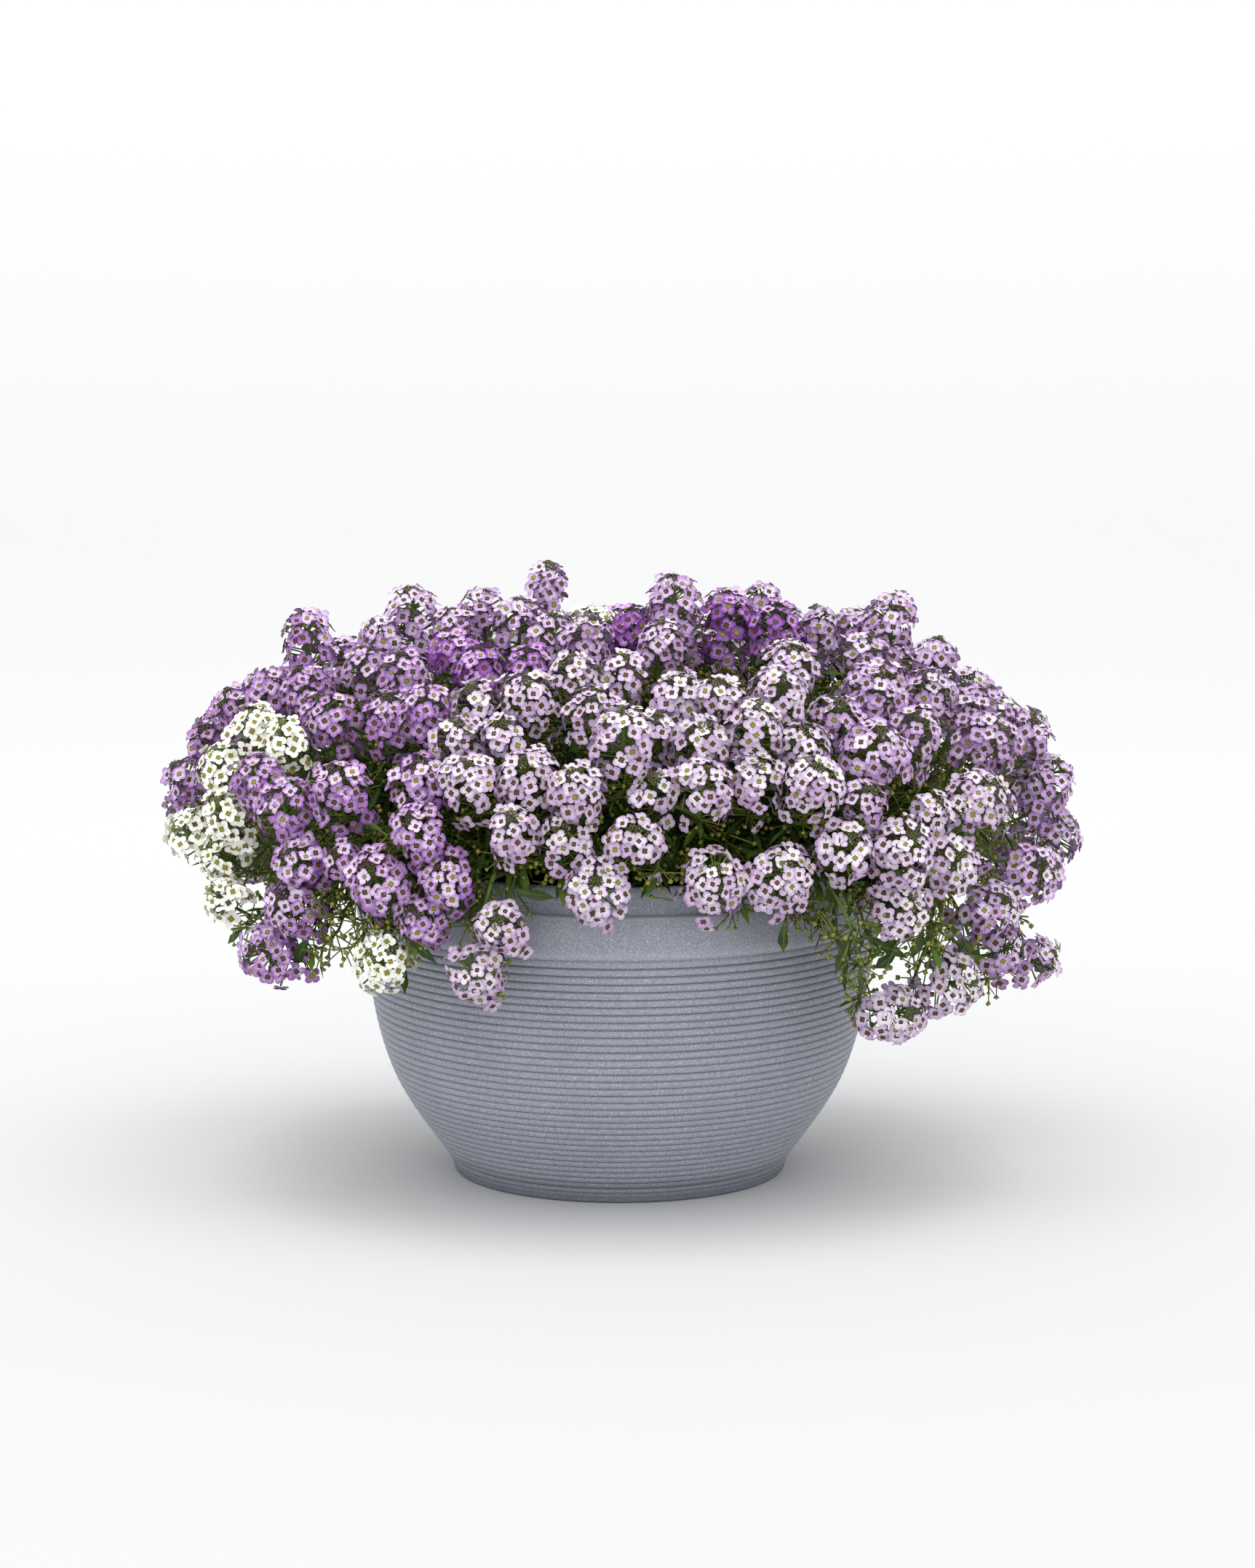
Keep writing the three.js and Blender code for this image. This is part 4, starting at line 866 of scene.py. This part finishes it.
def pointed(radii, low, high, middle=(0.0, 0.0), turn=0.0):
    """A small pointed body without its underside, whose rim has a corner at each of the radii."""
    corners = [turn + 2 * math.pi * k / len(radii) for k in range(len(radii))]
    points = [(middle[0] + r * math.cos(t), middle[1] + r * math.sin(t), low) for r, t in zip(radii, corners)]
    faces = [(k, (k + 1) % len(radii), len(radii)) for k in range(len(radii))]
    return points + [(*middle, high)], faces


class Batch:
    """Copies of small shapes, gathered into the lists that one piece is made from."""

    def __init__(self):
        self.points, self.faces, self.which, self.own, self.part = [], [], [], [], []
        self.start = 0

    def add(self, shapes, faces, material, own, part=0.0):
        """The shapes are (copies, points, 3). own has a number for each copy, part one for each point."""
        count, size = shapes.shape[:2]
        self.points.append(shapes.reshape(-1, 3))
        self.faces.append(copies(faces, count, size) + self.start)
        self.which.append(np.full(count * len(faces), material))
        self.own.append(np.repeat(own, size))
        self.part.append(np.tile(np.broadcast_to(part, size), count))
        self.start += count * size

    def piece(self, name, materials):
        return piece_of(name, np.vstack(self.points), np.vstack(self.faces), materials,
                        which=np.concatenate(self.which), own=np.concatenate(self.own),
                        part=np.concatenate(self.part))


# A heart and its four anthers, as shares of the floret's radius.
star_radii, anther_radius, anther_out, anther_top = [0.42, 0.28], 0.075, 0.17, 0.3
heart_points, heart_faces = pointed(star_radii * 4, 0.18, 0.12)
heart_marks = [0.0] * 8 + [0.55]
for anther in range(4):
    turn = math.pi / 2 * (anther + 0.5)
    middle = (anther_out * math.cos(turn), anther_out * math.sin(turn))
    points, faces = pointed([anther_radius] * 3, 0.1, anther_top, middle, turn)
    heart_faces += [tuple(c + len(heart_marks) for c in face) for face in faces]
    heart_points += points
    heart_marks += [0.9] * len(points)
heart_points, heart_marks = np.array(heart_points), np.array(heart_marks)
bud_points, bud_faces = spindle([(0, -0.9), (0.85, 0.1), (0, 1.0)], 4)

# Plant skin: each shoot or leaf has its own shade between two, with cloudy patches of a third and a grain.
skin = effect_of("Plant Skin",
                 [("First", "Color", paint(80, 100, 40)), ("Last", "Color", paint(120, 140, 60)),
                  ("Last From", "Float", 0.0), ("Patch", "Color", paint(60, 80, 30)),
                  ("Patch Share", "Float", 0.4), ("Patch Scale", "Float", 200.0)],
                 [("Color", "Color"), ("Height", "Float")])
skin_tone = skin.mix(skin.spread(skin.mark("own"), skin.given["Last From"], 1.0), skin.given["First"],
                     skin.given["Last"])
patches = skin.use(fine_grain, Scale=skin.given["Patch Scale"], Low=0.42, High=0.66)["Share"]
skin_tone = skin.mix(skin.sum("MULTIPLY", patches, skin.given["Patch Share"]), skin_tone, skin.given["Patch"])
skin.feed(skin.results["Color"], skin_tone)
skin.feed(skin.results["Height"], skin.use(fine_grain, Scale=1300.0)["Height"])
plant_skin = skin.tree

heart = finish_of("Floret Heart", Roughness=0.6)
fresh = heart.mix(heart.mark("part"), paint(98, 98, 30), paint(186, 172, 60))
aged = heart.mix(heart.mark("part"), paint(44, 22, 16), paint(132, 86, 38))
heart.relief(heart.use(fine_grain, Scale=2500.0)["Height"], 0.2, 0.0002)
heart_stuff = heart.finish(heart.mix(heart.mark("own"), aged, fresh))
stalk = finish_of("Flower Stalk", Roughness=0.55)
stalk_skin = stalk.use(plant_skin, First=paint(84, 108, 34), Last=paint(126, 146, 54),
                       Patch=paint(68, 88, 28), Patch_Scale=160.0)
stalk.relief(stalk_skin["Height"], 0.2, 0.0002)
stalk_stuff = stalk.finish(stalk_skin["Color"])
bud_greens = {
    "pale": [paint(84, 90, 44), paint(116, 120, 66)],
    "violet": [paint(76, 68, 46), paint(108, 100, 66)],
    "purple": [paint(70, 60, 46), paint(100, 90, 64)],
    "white": [paint(112, 122, 48), paint(146, 152, 78)],
}
bud_stuff = {}
for tone, (throat, flush, deep) in tone_paints.items():
    bud = finish_of(f"{tone.capitalize()} Bud", Roughness=0.6)
    green, speckled = bud_greens.get(tone, bud_greens["pale"])
    bud_skin = bud.use(plant_skin, First=green, Last=flush, Last_From=0.7, Patch=speckled, Patch_Scale=600.0)
    bud.relief(bud_skin["Height"], 0.3, 0.0002)
    bud_stuff[tone] = bud.finish(bud_skin["Color"])

white_fresh, other_fresh, young_fresh = 0.8, 0.12, 0.42  # shares of hearts that are still yellow-green
young_heart_smaller = 0.28
buds_a_head, knot_spread, knot_radius, knot_depth = 30, 1.1, 4.0, 4.6
root_below, stalk_low, stalk_high = 4.5 * MM, 0.3 * MM, 0.55 * MM
bud_lift = np.sqrt((np.arange(buds_a_head) + 0.5) / buds_a_head) * knot_spread
bud_turn = np.arange(buds_a_head) * golden
for spray in sprays:
    tone = spray["tone"]
    draw = np.random.default_rng(4000 + len(spray["lots"]) + 31 * spray["number"] + 7 * len(tone))
    batch = Batch()
    for florets in spray["lots"]:
        count, head = florets["count"], florets["head"]
        size = (floret_radius * (1.0 - young_heart_smaller * florets["youth"]))[:, None, None]
        fresh_share = (white_fresh if tone == "white" else other_fresh) + young_fresh * florets["youth"]
        fresh_ones = (draw.random(count) < fresh_share).astype(float)
        hearts = np.repeat(heart_points[None], count, 0) * size
        batch.add(set_out(hearts, florets["axes"], florets["spot"]), heart_faces, 0, fresh_ones, heart_marks)
        side, across, up = frames_on(head["up"][None], np.zeros(1))[0]
        rise = np.minimum((florets["spot"] - head["at"]) @ up - root_below, head["half"] * 0.5 * MM)
        roots = head["at"] + up * rise[:, None]
        tops = florets["spot"] - florets["face"] * 0.1 * MM
        stalks, stalk_faces = rods(roots, tops, stalk_low, stalk_high)
        batch.add(stalks, stalk_faces, 1, draw.random(count))
        out = side * np.cos(bud_turn)[:, None] + across * np.sin(bud_turn)[:, None]
        out = out * np.sin(bud_lift)[:, None] + up * np.cos(bud_lift)[:, None]
        knot = head["at"] + up * (head["half"] - knot_depth) * MM + out * knot_radius * MM
        bud_size = draw.uniform(0.66, 0.9, (buds_a_head, 1, 1)) * (0.9 + 0.3 * bud_lift)[:, None, None] * MM
        buds = np.repeat(bud_points[None], buds_a_head, 0) * bud_size
        bloom = draw.random(buds_a_head) * (0.5 + 0.5 * bud_lift)
        batch.add(set_out(buds, frames_on(out, bud_turn), knot), bud_faces, 2, bloom)
    middles = batch.piece(f"{tone}_hearts_and_buds_{spray['number']}",
                          [heart_stuff, stalk_stuff, bud_stuff[tone]])
    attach(middles, "root")

# ------------------------------------------------------------------------------------------------------------
# The stems: slim green stems that spring from three crowns in the compost and arch out to the heads, some
# over the pot's rim. Shoots without a flower fill the gaps, and a ring of short ones hides the compost.
# ------------------------------------------------------------------------------------------------------------
crowns = np.array([(62, -14), (-48, -34), (-12, 52)]) * MM
crown_top, crown_scatter = 140 * MM, 2.2 * MM
stem_sides, stem_rings = 4, 15
foot_radius, flowered_tip, bare_tip = 1.5 * MM, 0.8 * MM, 0.5 * MM
over_rim, rim_crossing = 136 * MM, 172 * MM


def tube(path, radii, sides):
    """A closed tube along a path, with a radius for each of its points."""
    ways = np.gradient(path, axis=0)
    ways /= np.linalg.norm(ways, axis=1)[:, None]
    turns = np.arange(sides) * 2 * math.pi / sides
    side = np.cross(ways[0], [0.3, 0.5, 0.8])
    rings = []
    for at, way, radius in zip(path, ways, radii):
        side = side - way * np.dot(side, way)
        side /= np.linalg.norm(side)
        across = np.cross(way, side)
        rings.append(at + radius * (np.cos(turns)[:, None] * side + np.sin(turns)[:, None] * across))
    points = np.vstack(rings + [path[:1], path[-1:]])
    foot, tip = len(points) - 2, len(points) - 1
    faces = []
    for k in range(sides):
        n = (k + 1) % sides
        faces += [(foot, n, k), (tip, tip - 1 - sides + k, tip - 1 - sides + n)]
        for r in range(0, (len(path) - 1) * sides, sides):
            faces += [(r + k, r + n, r + sides + n), (r + k, r + sides + n, r + sides + k)]
    return points, np.array(faces)


def before_pot(across, up, clear):
    """A point of the mound's surface, in metres, that keeps that far outside the pot where it is low."""
    low_level, further_in = 150 * MM, 0.94
    found = np.array(on_mound(across, up)) * MM
    low = found[2] < low_level
    found[:2] *= max(clear / math.hypot(found[0], found[1]), 1.0) if low else further_in
    return found


# A few stems hang in full view. The first numbers are their head's, the others where the stem passes.
hung_stems = {(-71, 93): [(-69, 127)], (134, 76): [(113, 130), (117, 98)], (-115, 101): [(-119, 126)],
              (160, 90): [(150, 124)], (-169, 104): [(-160, 128)]}


neck_below, edge_up, edge_range, arch_top = 12 * MM, 171 * MM, 6 * MM, 178 * MM
long_drop, drop_out, inside_level = 25 * MM, 7 * MM, 165 * MM


def stem_path(at, up, half, draw, by=()):
    """From the nearest crown up and out to the middle of a head, over the rim first if the head hangs low."""
    crown = crowns[np.argmin(np.linalg.norm(crowns - at[:2], axis=1))] + draw.normal(0, crown_scatter, 2)
    neck = at - up * (half + neck_below)
    toward = by[0] if len(by) else at
    outward = math.hypot(toward[0], toward[1])
    knots = [(crown[0], crown[1], crown_top)]
    if neck[2] < rim_crossing and math.hypot(at[0], at[1]) > over_rim:
        share = over_rim / outward
        edge = np.array([toward[0] * share, toward[1] * share, edge_up + edge_range * draw.random()])
        knots += [np.array([*(crown * 0.45 + toward[:2] * share * 0.5), arch_top]), edge]
        neck[:2] *= max((over_rim + 2 * MM) / max(math.hypot(neck[0], neck[1]), 1e-6), 1.0)
        knots += list(by)
        if neck[2] < edge[2] - long_drop and not len(by):
            knots.append((edge + neck) / 2 + np.array([at[0], at[1], 0]) / outward * drop_out)
    else:
        level = inside_level + (at[2] - inside_level) * 0.35
        knots.append(np.array([*(crown * 0.5 + at[:2] * 0.42), level]))
    return curve_through(knots + [neck, at + up * half * 0.5], stem_rings)


stem_clear, hanging_lift, bush_lift, bare_half = 138 * MM, -0.02, 0.12, 4 * MM
draw = np.random.default_rng(77)
paths, flowered = [], []  # flowered holds the half length of a stem's head, or 0 on a bare shoot
for head in heads:
    by = [before_pot(*seen, stem_clear) for seen in hung_stems.get(head["seen"], [])]
    paths.append(stem_path(head["at"], head["up"], head["half"] * MM, draw, by))
    flowered.append(head["half"] * MM)
# The shoots without a flower that show low down in front, by where their tips are seen.
bare_shoots = [(-168, 118), (-152, 106), (-143, 122), (-137, 106), (-128, 118), (-118, 112), (-148, 135),
               (-104, 112), (-98, 130), (-80, 122), (-172, 140), (-186, 116), (104, 122), (112, 110),
               (118, 98), (124, 118), (133, 106), (146, 116), (152, 108), (160, 118), (168, 104), (182, 92),
               (196, 122), (-60, 150), (150, 132), (20, 146), (62, 128), (-30, 148), (92, 128), (-120, 160),
               (168, 160), (-200, 150)]
for across, up in bare_shoots:
    tip = before_pot(across, up, stem_clear)
    lift = hanging_lift if tip[2] < 150 * MM else bush_lift
    paths.append(stem_path(tip, np.array(unit([tip[0], tip[1], lift])), bare_half, draw))
    flowered.append(0.0)
# The short shoots round the rim lean outward a little.
rim_shoots, shoot_foot, shoot_bend = 64, 146 * MM, 3 * MM
for k in range(rim_shoots):
    turn = 2 * math.pi * (k + draw.random()) / rim_shoots
    outward = draw.uniform(104, 118) * MM
    ray = np.array([math.cos(turn), math.sin(turn), 0]) * outward
    foot = ray * 0.9 + [0, 0, shoot_foot]
    tip = ray * 1.06 + [0, 0, draw.uniform(166, 182) * MM]
    paths.append(curve_through([foot, (foot * 0.6 + tip * 0.4) + [0, 0, shoot_bend], tip], stem_rings))
    flowered.append(0.0)

stem_points, stem_faces, stem_green, stem_start = [], [], [], 0
for path, clear in zip(paths, flowered):
    tip_radius = flowered_tip if clear else bare_tip
    points, faces = tube(path, np.linspace(foot_radius, tip_radius, stem_rings), stem_sides)
    stem_points.append(points)
    stem_faces.append(faces + stem_start)
    stem_green.append(np.full(len(points), draw.random()))
    stem_start += len(points)
stem = finish_of("Stem Green", Roughness=0.5)
stem_skin = stem.use(plant_skin, First=paint(66, 94, 30), Last=paint(104, 132, 52), Patch=paint(54, 74, 26),
                     Patch_Share=0.5, Patch_Scale=90.0)
stem.relief(stem_skin["Height"], 0.2, 0.0003)
stems = piece_of("stems", np.vstack(stem_points), np.vstack(stem_faces), [stem.finish(stem_skin["Color"])],
                 own=np.concatenate(stem_green))
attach(stems, "root")
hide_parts("stems_and_leaves")

# ------------------------------------------------------------------------------------------------------------
# The seed pods: under each head its stem bears the small olive pods of the first florets, each on a fine
# stalk that stands straight out. More of them fill the gaps between the heads.
# ------------------------------------------------------------------------------------------------------------
few_pods, many_pods = 16, 26
bare_outside, bare_inside = 24, 10
pod_ends, pod_ways, pod_feet = [], [], []
for path, clear in zip(paths, flowered):
    fine = curve_through(path, 120)
    from_tip = np.concatenate([[0], np.cumsum(np.linalg.norm(np.diff(fine, axis=0), axis=1))])
    from_tip = from_tip[-1] - from_tip
    bare_count = bare_outside if math.hypot(*path[-1][:2]) > over_rim else bare_inside
    pod_count = int(draw.integers(few_pods, many_pods)) if clear else bare_count
    below = clear * 1.5 + draw.uniform(1.0, 36.0 if clear else 28.0, pod_count) * MM
    spots = np.stack([np.interp(-below, -from_tip, fine[:, k]) for k in range(3)], axis=1)
    turn = np.arange(pod_count) * golden + draw.random() * 6
    side, across, along = frames_on(np.array([unit(path[-1] - path[-3])]), np.zeros(1))[0]
    way = side * np.cos(turn)[:, None] + across * np.sin(turn)[:, None]
    way += along * draw.uniform(0.05, 0.6, pod_count)[:, None]
    way /= np.linalg.norm(way, axis=1)[:, None]
    pod_ends.append(spots + way * draw.uniform(7.5, 12.0, pod_count)[:, None] * MM)
    pod_ways.append(way)
    pod_feet.append(spots)

# The gap pods stand in a layer just under the heads, down to a little under the mound's widest level.
gap_pods, gap_range, gap_stalk = 2600, 1.06, 11 * MM
turn = np.arange(gap_pods) * golden
lift = 1 - (np.arange(gap_pods) + 0.5) / gap_pods * gap_range
way = np.stack([np.sqrt(1 - lift**2) * np.cos(turn), np.sqrt(1 - lift**2) * np.sin(turn), lift], axis=1)
reach_out = np.sum(np.abs(way) ** mound_power, axis=1) ** (-1 / mound_power)
reach_out *= draw.uniform(0.68, 0.88, gap_pods)
mound_size = np.array([mound_x, mound_y, mound_back]) * MM
ends = way * reach_out[:, None] * mound_size + [0, 0, mound_level * MM]
leaning = way / mound_size
leaning /= np.linalg.norm(leaning, axis=1)[:, None]
leaning += draw.normal(0, 0.45, leaning.shape)
leaning /= np.linalg.norm(leaning, axis=1)[:, None]
pod_ends.append(ends)
pod_ways.append(leaning)
pod_feet.append(ends - leaning * gap_stalk)
pod_ends, pod_ways, pod_feet = np.vstack(pod_ends), np.vstack(pod_ways), np.vstack(pod_feet)

# Pods deep in the bush or inside the pot's wall are left out.
deep_share, low_pod = 0.3, 170 * MM
wall_radius, wall_top = 129 * MM, 162 * MM
out_share = np.sum(np.abs((pod_ends - [0, 0, mound_level * MM]) / mound_size) ** mound_power, axis=1)
clear_of_pot = (np.hypot(pod_ends[:, 0], pod_ends[:, 1]) > wall_radius) | (pod_ends[:, 2] > wall_top)
kept = clear_of_pot & ((out_share > deep_share) | (pod_ends[:, 2] < low_pod))
pod_ends, pod_ways, pod_feet = pod_ends[kept], pod_ways[kept], pod_feet[kept]
pod_total = len(pod_ends)
pod_points, pod_faces = spindle([(0, -0.6), (1.0, 0.7), (0, 1.5)], 4)
pod_size = draw.uniform(1.1, 1.65, (pod_total, 1, 1)) * MM
pod_frames = frames_on(pod_ways, draw.random(pod_total) * 2)
pod_own = draw.random(pod_total)
pod_batch = Batch()
pods = set_out(np.repeat(pod_points[None], pod_total, 0) * pod_size, pod_frames, pod_ends)
pod_batch.add(pods, pod_faces, 0, pod_own)
stalk_foot, stalk_end = 0.4 * MM, 0.34 * MM
stalks, stalk_faces = rods(pod_feet, pod_ends, stalk_foot, stalk_end)
pod_batch.add(stalks, stalk_faces, 0, pod_own * 0.6)
pod = finish_of("Seed Pod", Roughness=0.5)
pod_skin = pod.use(plant_skin, First=paint(82, 100, 32), Last=paint(150, 144, 52), Patch=paint(104, 116, 38),
                   Patch_Scale=300.0)
pod.relief(pod_skin["Height"], 0.25, 0.0002)
seed_pods = pod_batch.piece("seed_pods", [pod.finish(pod_skin["Color"])])
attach(seed_pods, "root")

# ------------------------------------------------------------------------------------------------------------
# The leaves: narrow lance-shaped leaves, dull green with a paler midrib, that stand all round the stems.
# They are densest deep in the bush, and a few larger ones hang in full view below the rim.
# ------------------------------------------------------------------------------------------------------------
leaf_rows = [(0.0, 0.12), (0.3, 0.72), (0.66, 0.96)]  # how far out, share of the full width
leaf_points, leaf_marks = [], []
for out, wide in leaf_rows:
    for side in (-1, 0, 1):
        leaf_points.append((out, side * wide * 0.5, 0.0 if side == 0 else 0.16 * wide))
        leaf_marks.append(1.0 if side == 0 else 0.0)
leaf_points.append((1.0, 0.0, 0.0))
leaf_marks.append(0.6)
leaf_points, leaf_marks = np.array(leaf_points), np.array(leaf_marks)
leaf_size = len(leaf_points)
leaf_faces = [(6, 9, 7), (7, 9, 8)]
for row in (0, 3):
    for k in (0, 1):
        leaf_faces += [(row + k, row + 3 + k, row + 4 + k), (row + k, row + 4 + k, row + 1 + k)]


def leaves(feet, ways, lengths, widths, curls, lie):
    """Leaves that start at the feet and bend down along their length. lie is up, as each leaf knows it."""
    side = np.cross(lie, ways)
    side /= np.maximum(np.linalg.norm(side, axis=1), 1e-6)[:, None]
    face = np.cross(ways, side)
    x = leaf_points[None, :, 0] * lengths[:, None]
    y = leaf_points[None, :, 1] * widths[:, None]
    z = leaf_points[None, :, 2] * widths[:, None]
    z -= curls[:, None] * lengths[:, None] * leaf_points[None, :, 0] ** 2
    bent = x[..., None] * ways[:, None] + y[..., None] * side[:, None] + z[..., None] * face[:, None]
    return feet[:, None] + bent


fine_points, bare_share = 60, 0.25
flowered_apart, bare_apart = 5.5 * MM, 3.2 * MM
draw = np.random.default_rng(303)
feet, ways = [], []
for path, clear in zip(paths, flowered):
    fine = curve_through(path, fine_points)
    span = np.sum(np.linalg.norm(np.diff(fine, axis=0), axis=1))
    count = int(span / (flowered_apart if clear else bare_apart))
    share = (np.arange(count) + draw.random(count)) / count
    share = share[(share > bare_share) & (share < 1 - (clear * 2.4) / span)]
    step = share * (fine_points - 1)
    spots = np.stack([np.interp(step, np.arange(fine_points), fine[:, k]) for k in range(3)], axis=1)
    along = np.gradient(fine, axis=0)[np.clip(step.astype(int), 0, fine_points - 1)]
    along /= np.linalg.norm(along, axis=1)[:, None]
    axes = frames_on(along, np.arange(len(share)) * golden + draw.random() * 6)
    feet.append(spots)
    spread, lean = draw.uniform(0.7, 1.1, (len(share), 1)), draw.uniform(0.4, 1.1, (len(share), 1))
    ways.append(axes[:, 0] * spread + along * lean)
# More leaves grow evenly over the bush, between the stems.
bush_count, bush_half, bush_middle = 1500, np.array([154, 112, 58]) * MM, 172 * MM
bush_root = 8 * MM
bush_turn = np.arange(bush_count) * golden
bush_high = 1 - np.arange(bush_count) / bush_count * 1.12
bush_ring = np.sqrt(np.clip(1 - np.clip(bush_high, 0, 1) ** 2, 0, 1))
bush_way = np.stack([bush_ring * np.cos(bush_turn), bush_ring * np.sin(bush_turn), bush_high], axis=1)
bush_at = bush_way * bush_half + [0, 0, bush_middle]
bush_way = bush_way / bush_half
bush_way /= np.linalg.norm(bush_way, axis=1)[:, None]
feet.append(bush_at - bush_way * bush_root)
ways.append(bush_way + draw.normal(0, 0.5, (bush_count, 3)))
feet, ways = np.vstack(feet), np.vstack(ways)
ways /= np.linalg.norm(ways, axis=1)[:, None]
lie = np.array([[0, 0, 1.0]]) + draw.normal(0, 0.25, (len(feet), 3))
low_leaf, low_length, low_left_out = 160 * MM, 0.8, 0.68
low_down = feet[:, 2] < low_leaf
lengths = draw.uniform(13, 22, len(feet)) * np.where(low_down, low_length, 1.0) * MM
widths, curls = draw.uniform(2.8, 4.4, len(feet)) * MM, draw.uniform(0.02, 0.22, len(feet))
blades = leaves(feet, ways, lengths, widths, curls, lie)
in_wall = (np.hypot(blades[..., 0], blades[..., 1]) < wall_radius) & (blades[..., 2] < wall_top + 1 * MM)
blades = blades[~in_wall.any(axis=1) & ~(low_down & (draw.random(len(feet)) < low_left_out))]

# Each hanging leaf runs from one (across, up) to another, as seen from the eye point.
hanging = [((114, 116), (104, 94)), ((117, 113), (140, 102)), ((126, 117), (134, 105)),
           ((147, 116), (142, 102)), ((134, 104), (124, 97)), ((-104, 115), (-89, 99)),
           ((-56, 133), (-34, 129)), ((80, 119), (79, 105)), ((-150, 112), (-158, 98)),
           ((166, 112), (174, 99))]
hang_feet = np.array([before_pot(*start, 139 * MM) for start, end in hanging])
hang_ways = np.array([before_pot(*end, 141 * MM) for start, end in hanging]) - hang_feet
hang_lengths = np.linalg.norm(hang_ways, axis=1)
hang_ways /= hang_lengths[:, None]
hang_widths, hang_curls = draw.uniform(5.0, 6.5, len(hanging)) * MM, np.full(len(hanging), 0.06)
toward_view = -np.tile(view_way, (len(hanging), 1)) + draw.normal(0, 0.35, (len(hanging), 3))
hung = leaves(hang_feet, hang_ways, hang_lengths * 1.05, hang_widths, hang_curls, toward_view)
blades = np.vstack([blades, hung])
leaf = finish_of("Leaf Green", Roughness=0.55, Specular_IOR_Level=0.28)
leaf_skin = leaf.use(plant_skin, First=paint(24, 44, 12), Last=paint(78, 104, 30), Patch=paint(84, 110, 34),
                     Patch_Share=0.35, Patch_Scale=240.0)
rib_share = leaf.spread(leaf.mark("rib"), 0.75, 1.0, 0.0, 0.35)
leaf_tone = leaf.mix(rib_share, leaf_skin["Color"], paint(110, 132, 64))
leaf.relief(leaf_skin["Height"], 0.25, 0.0003)
leaf_own = draw.random(len(blades))
leaf_own[-len(hanging):] *= 0.2
all_leaves = piece_of("leaves", blades.reshape(-1, 3), copies(leaf_faces, len(blades), leaf_size),
                      [leaf.finish(leaf_tone)], own=np.repeat(leaf_own, leaf_size),
                      rib=np.tile(leaf_marks, len(blades)))
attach(all_leaves, "root")

# ------------------------------------------------------------------------------------------------------------
# The inner growth: deep in the bush stems and leaves are so dense that only a dark green tangle shows. It
# grew there on the same crowns, and closes the view through the plant. It is one lumpy body, painted very
# dark green as painted shade.
# ------------------------------------------------------------------------------------------------------------
core_rings = [(0.0, -0.3), (0.7, -0.28), (0.92, -0.16), (1.0, 0.0), (0.97, 0.24), (0.88, 0.47), (0.74, 0.67),
              (0.56, 0.83), (0.35, 0.94), (0.15, 0.99), (0.0, 1.0)]
core_half, core_middle = np.array([148, 106, 54]) * MM, 174 * MM
core_points, core_faces = lathe(core_rings, np.linspace(-math.pi, math.pi, 48, endpoint=False))
core_points *= core_half * draw.uniform(0.9, 1.08, (len(core_points), 1))
core_points[:, 2] += core_middle
# Painted shade: the very dark green stands in for the shade deep in the bush.
tangle = finish_of("Shaded Inner Tangle", Roughness=0.9)
tangle_skin = tangle.use(plant_skin, First=paint(24, 34, 12), Patch=paint(66, 78, 28), Patch_Share=0.9,
                         Patch_Scale=260.0)
tangle.relief(tangle.use(fine_grain, Scale=500.0)["Height"], 0.8, 0.002)
core = piece_of("shaded_inner_growth", core_points, core_faces, [tangle.finish(tangle_skin["Color"])], smooth=False,
                own=np.zeros(len(core_points)))
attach(core, "root")
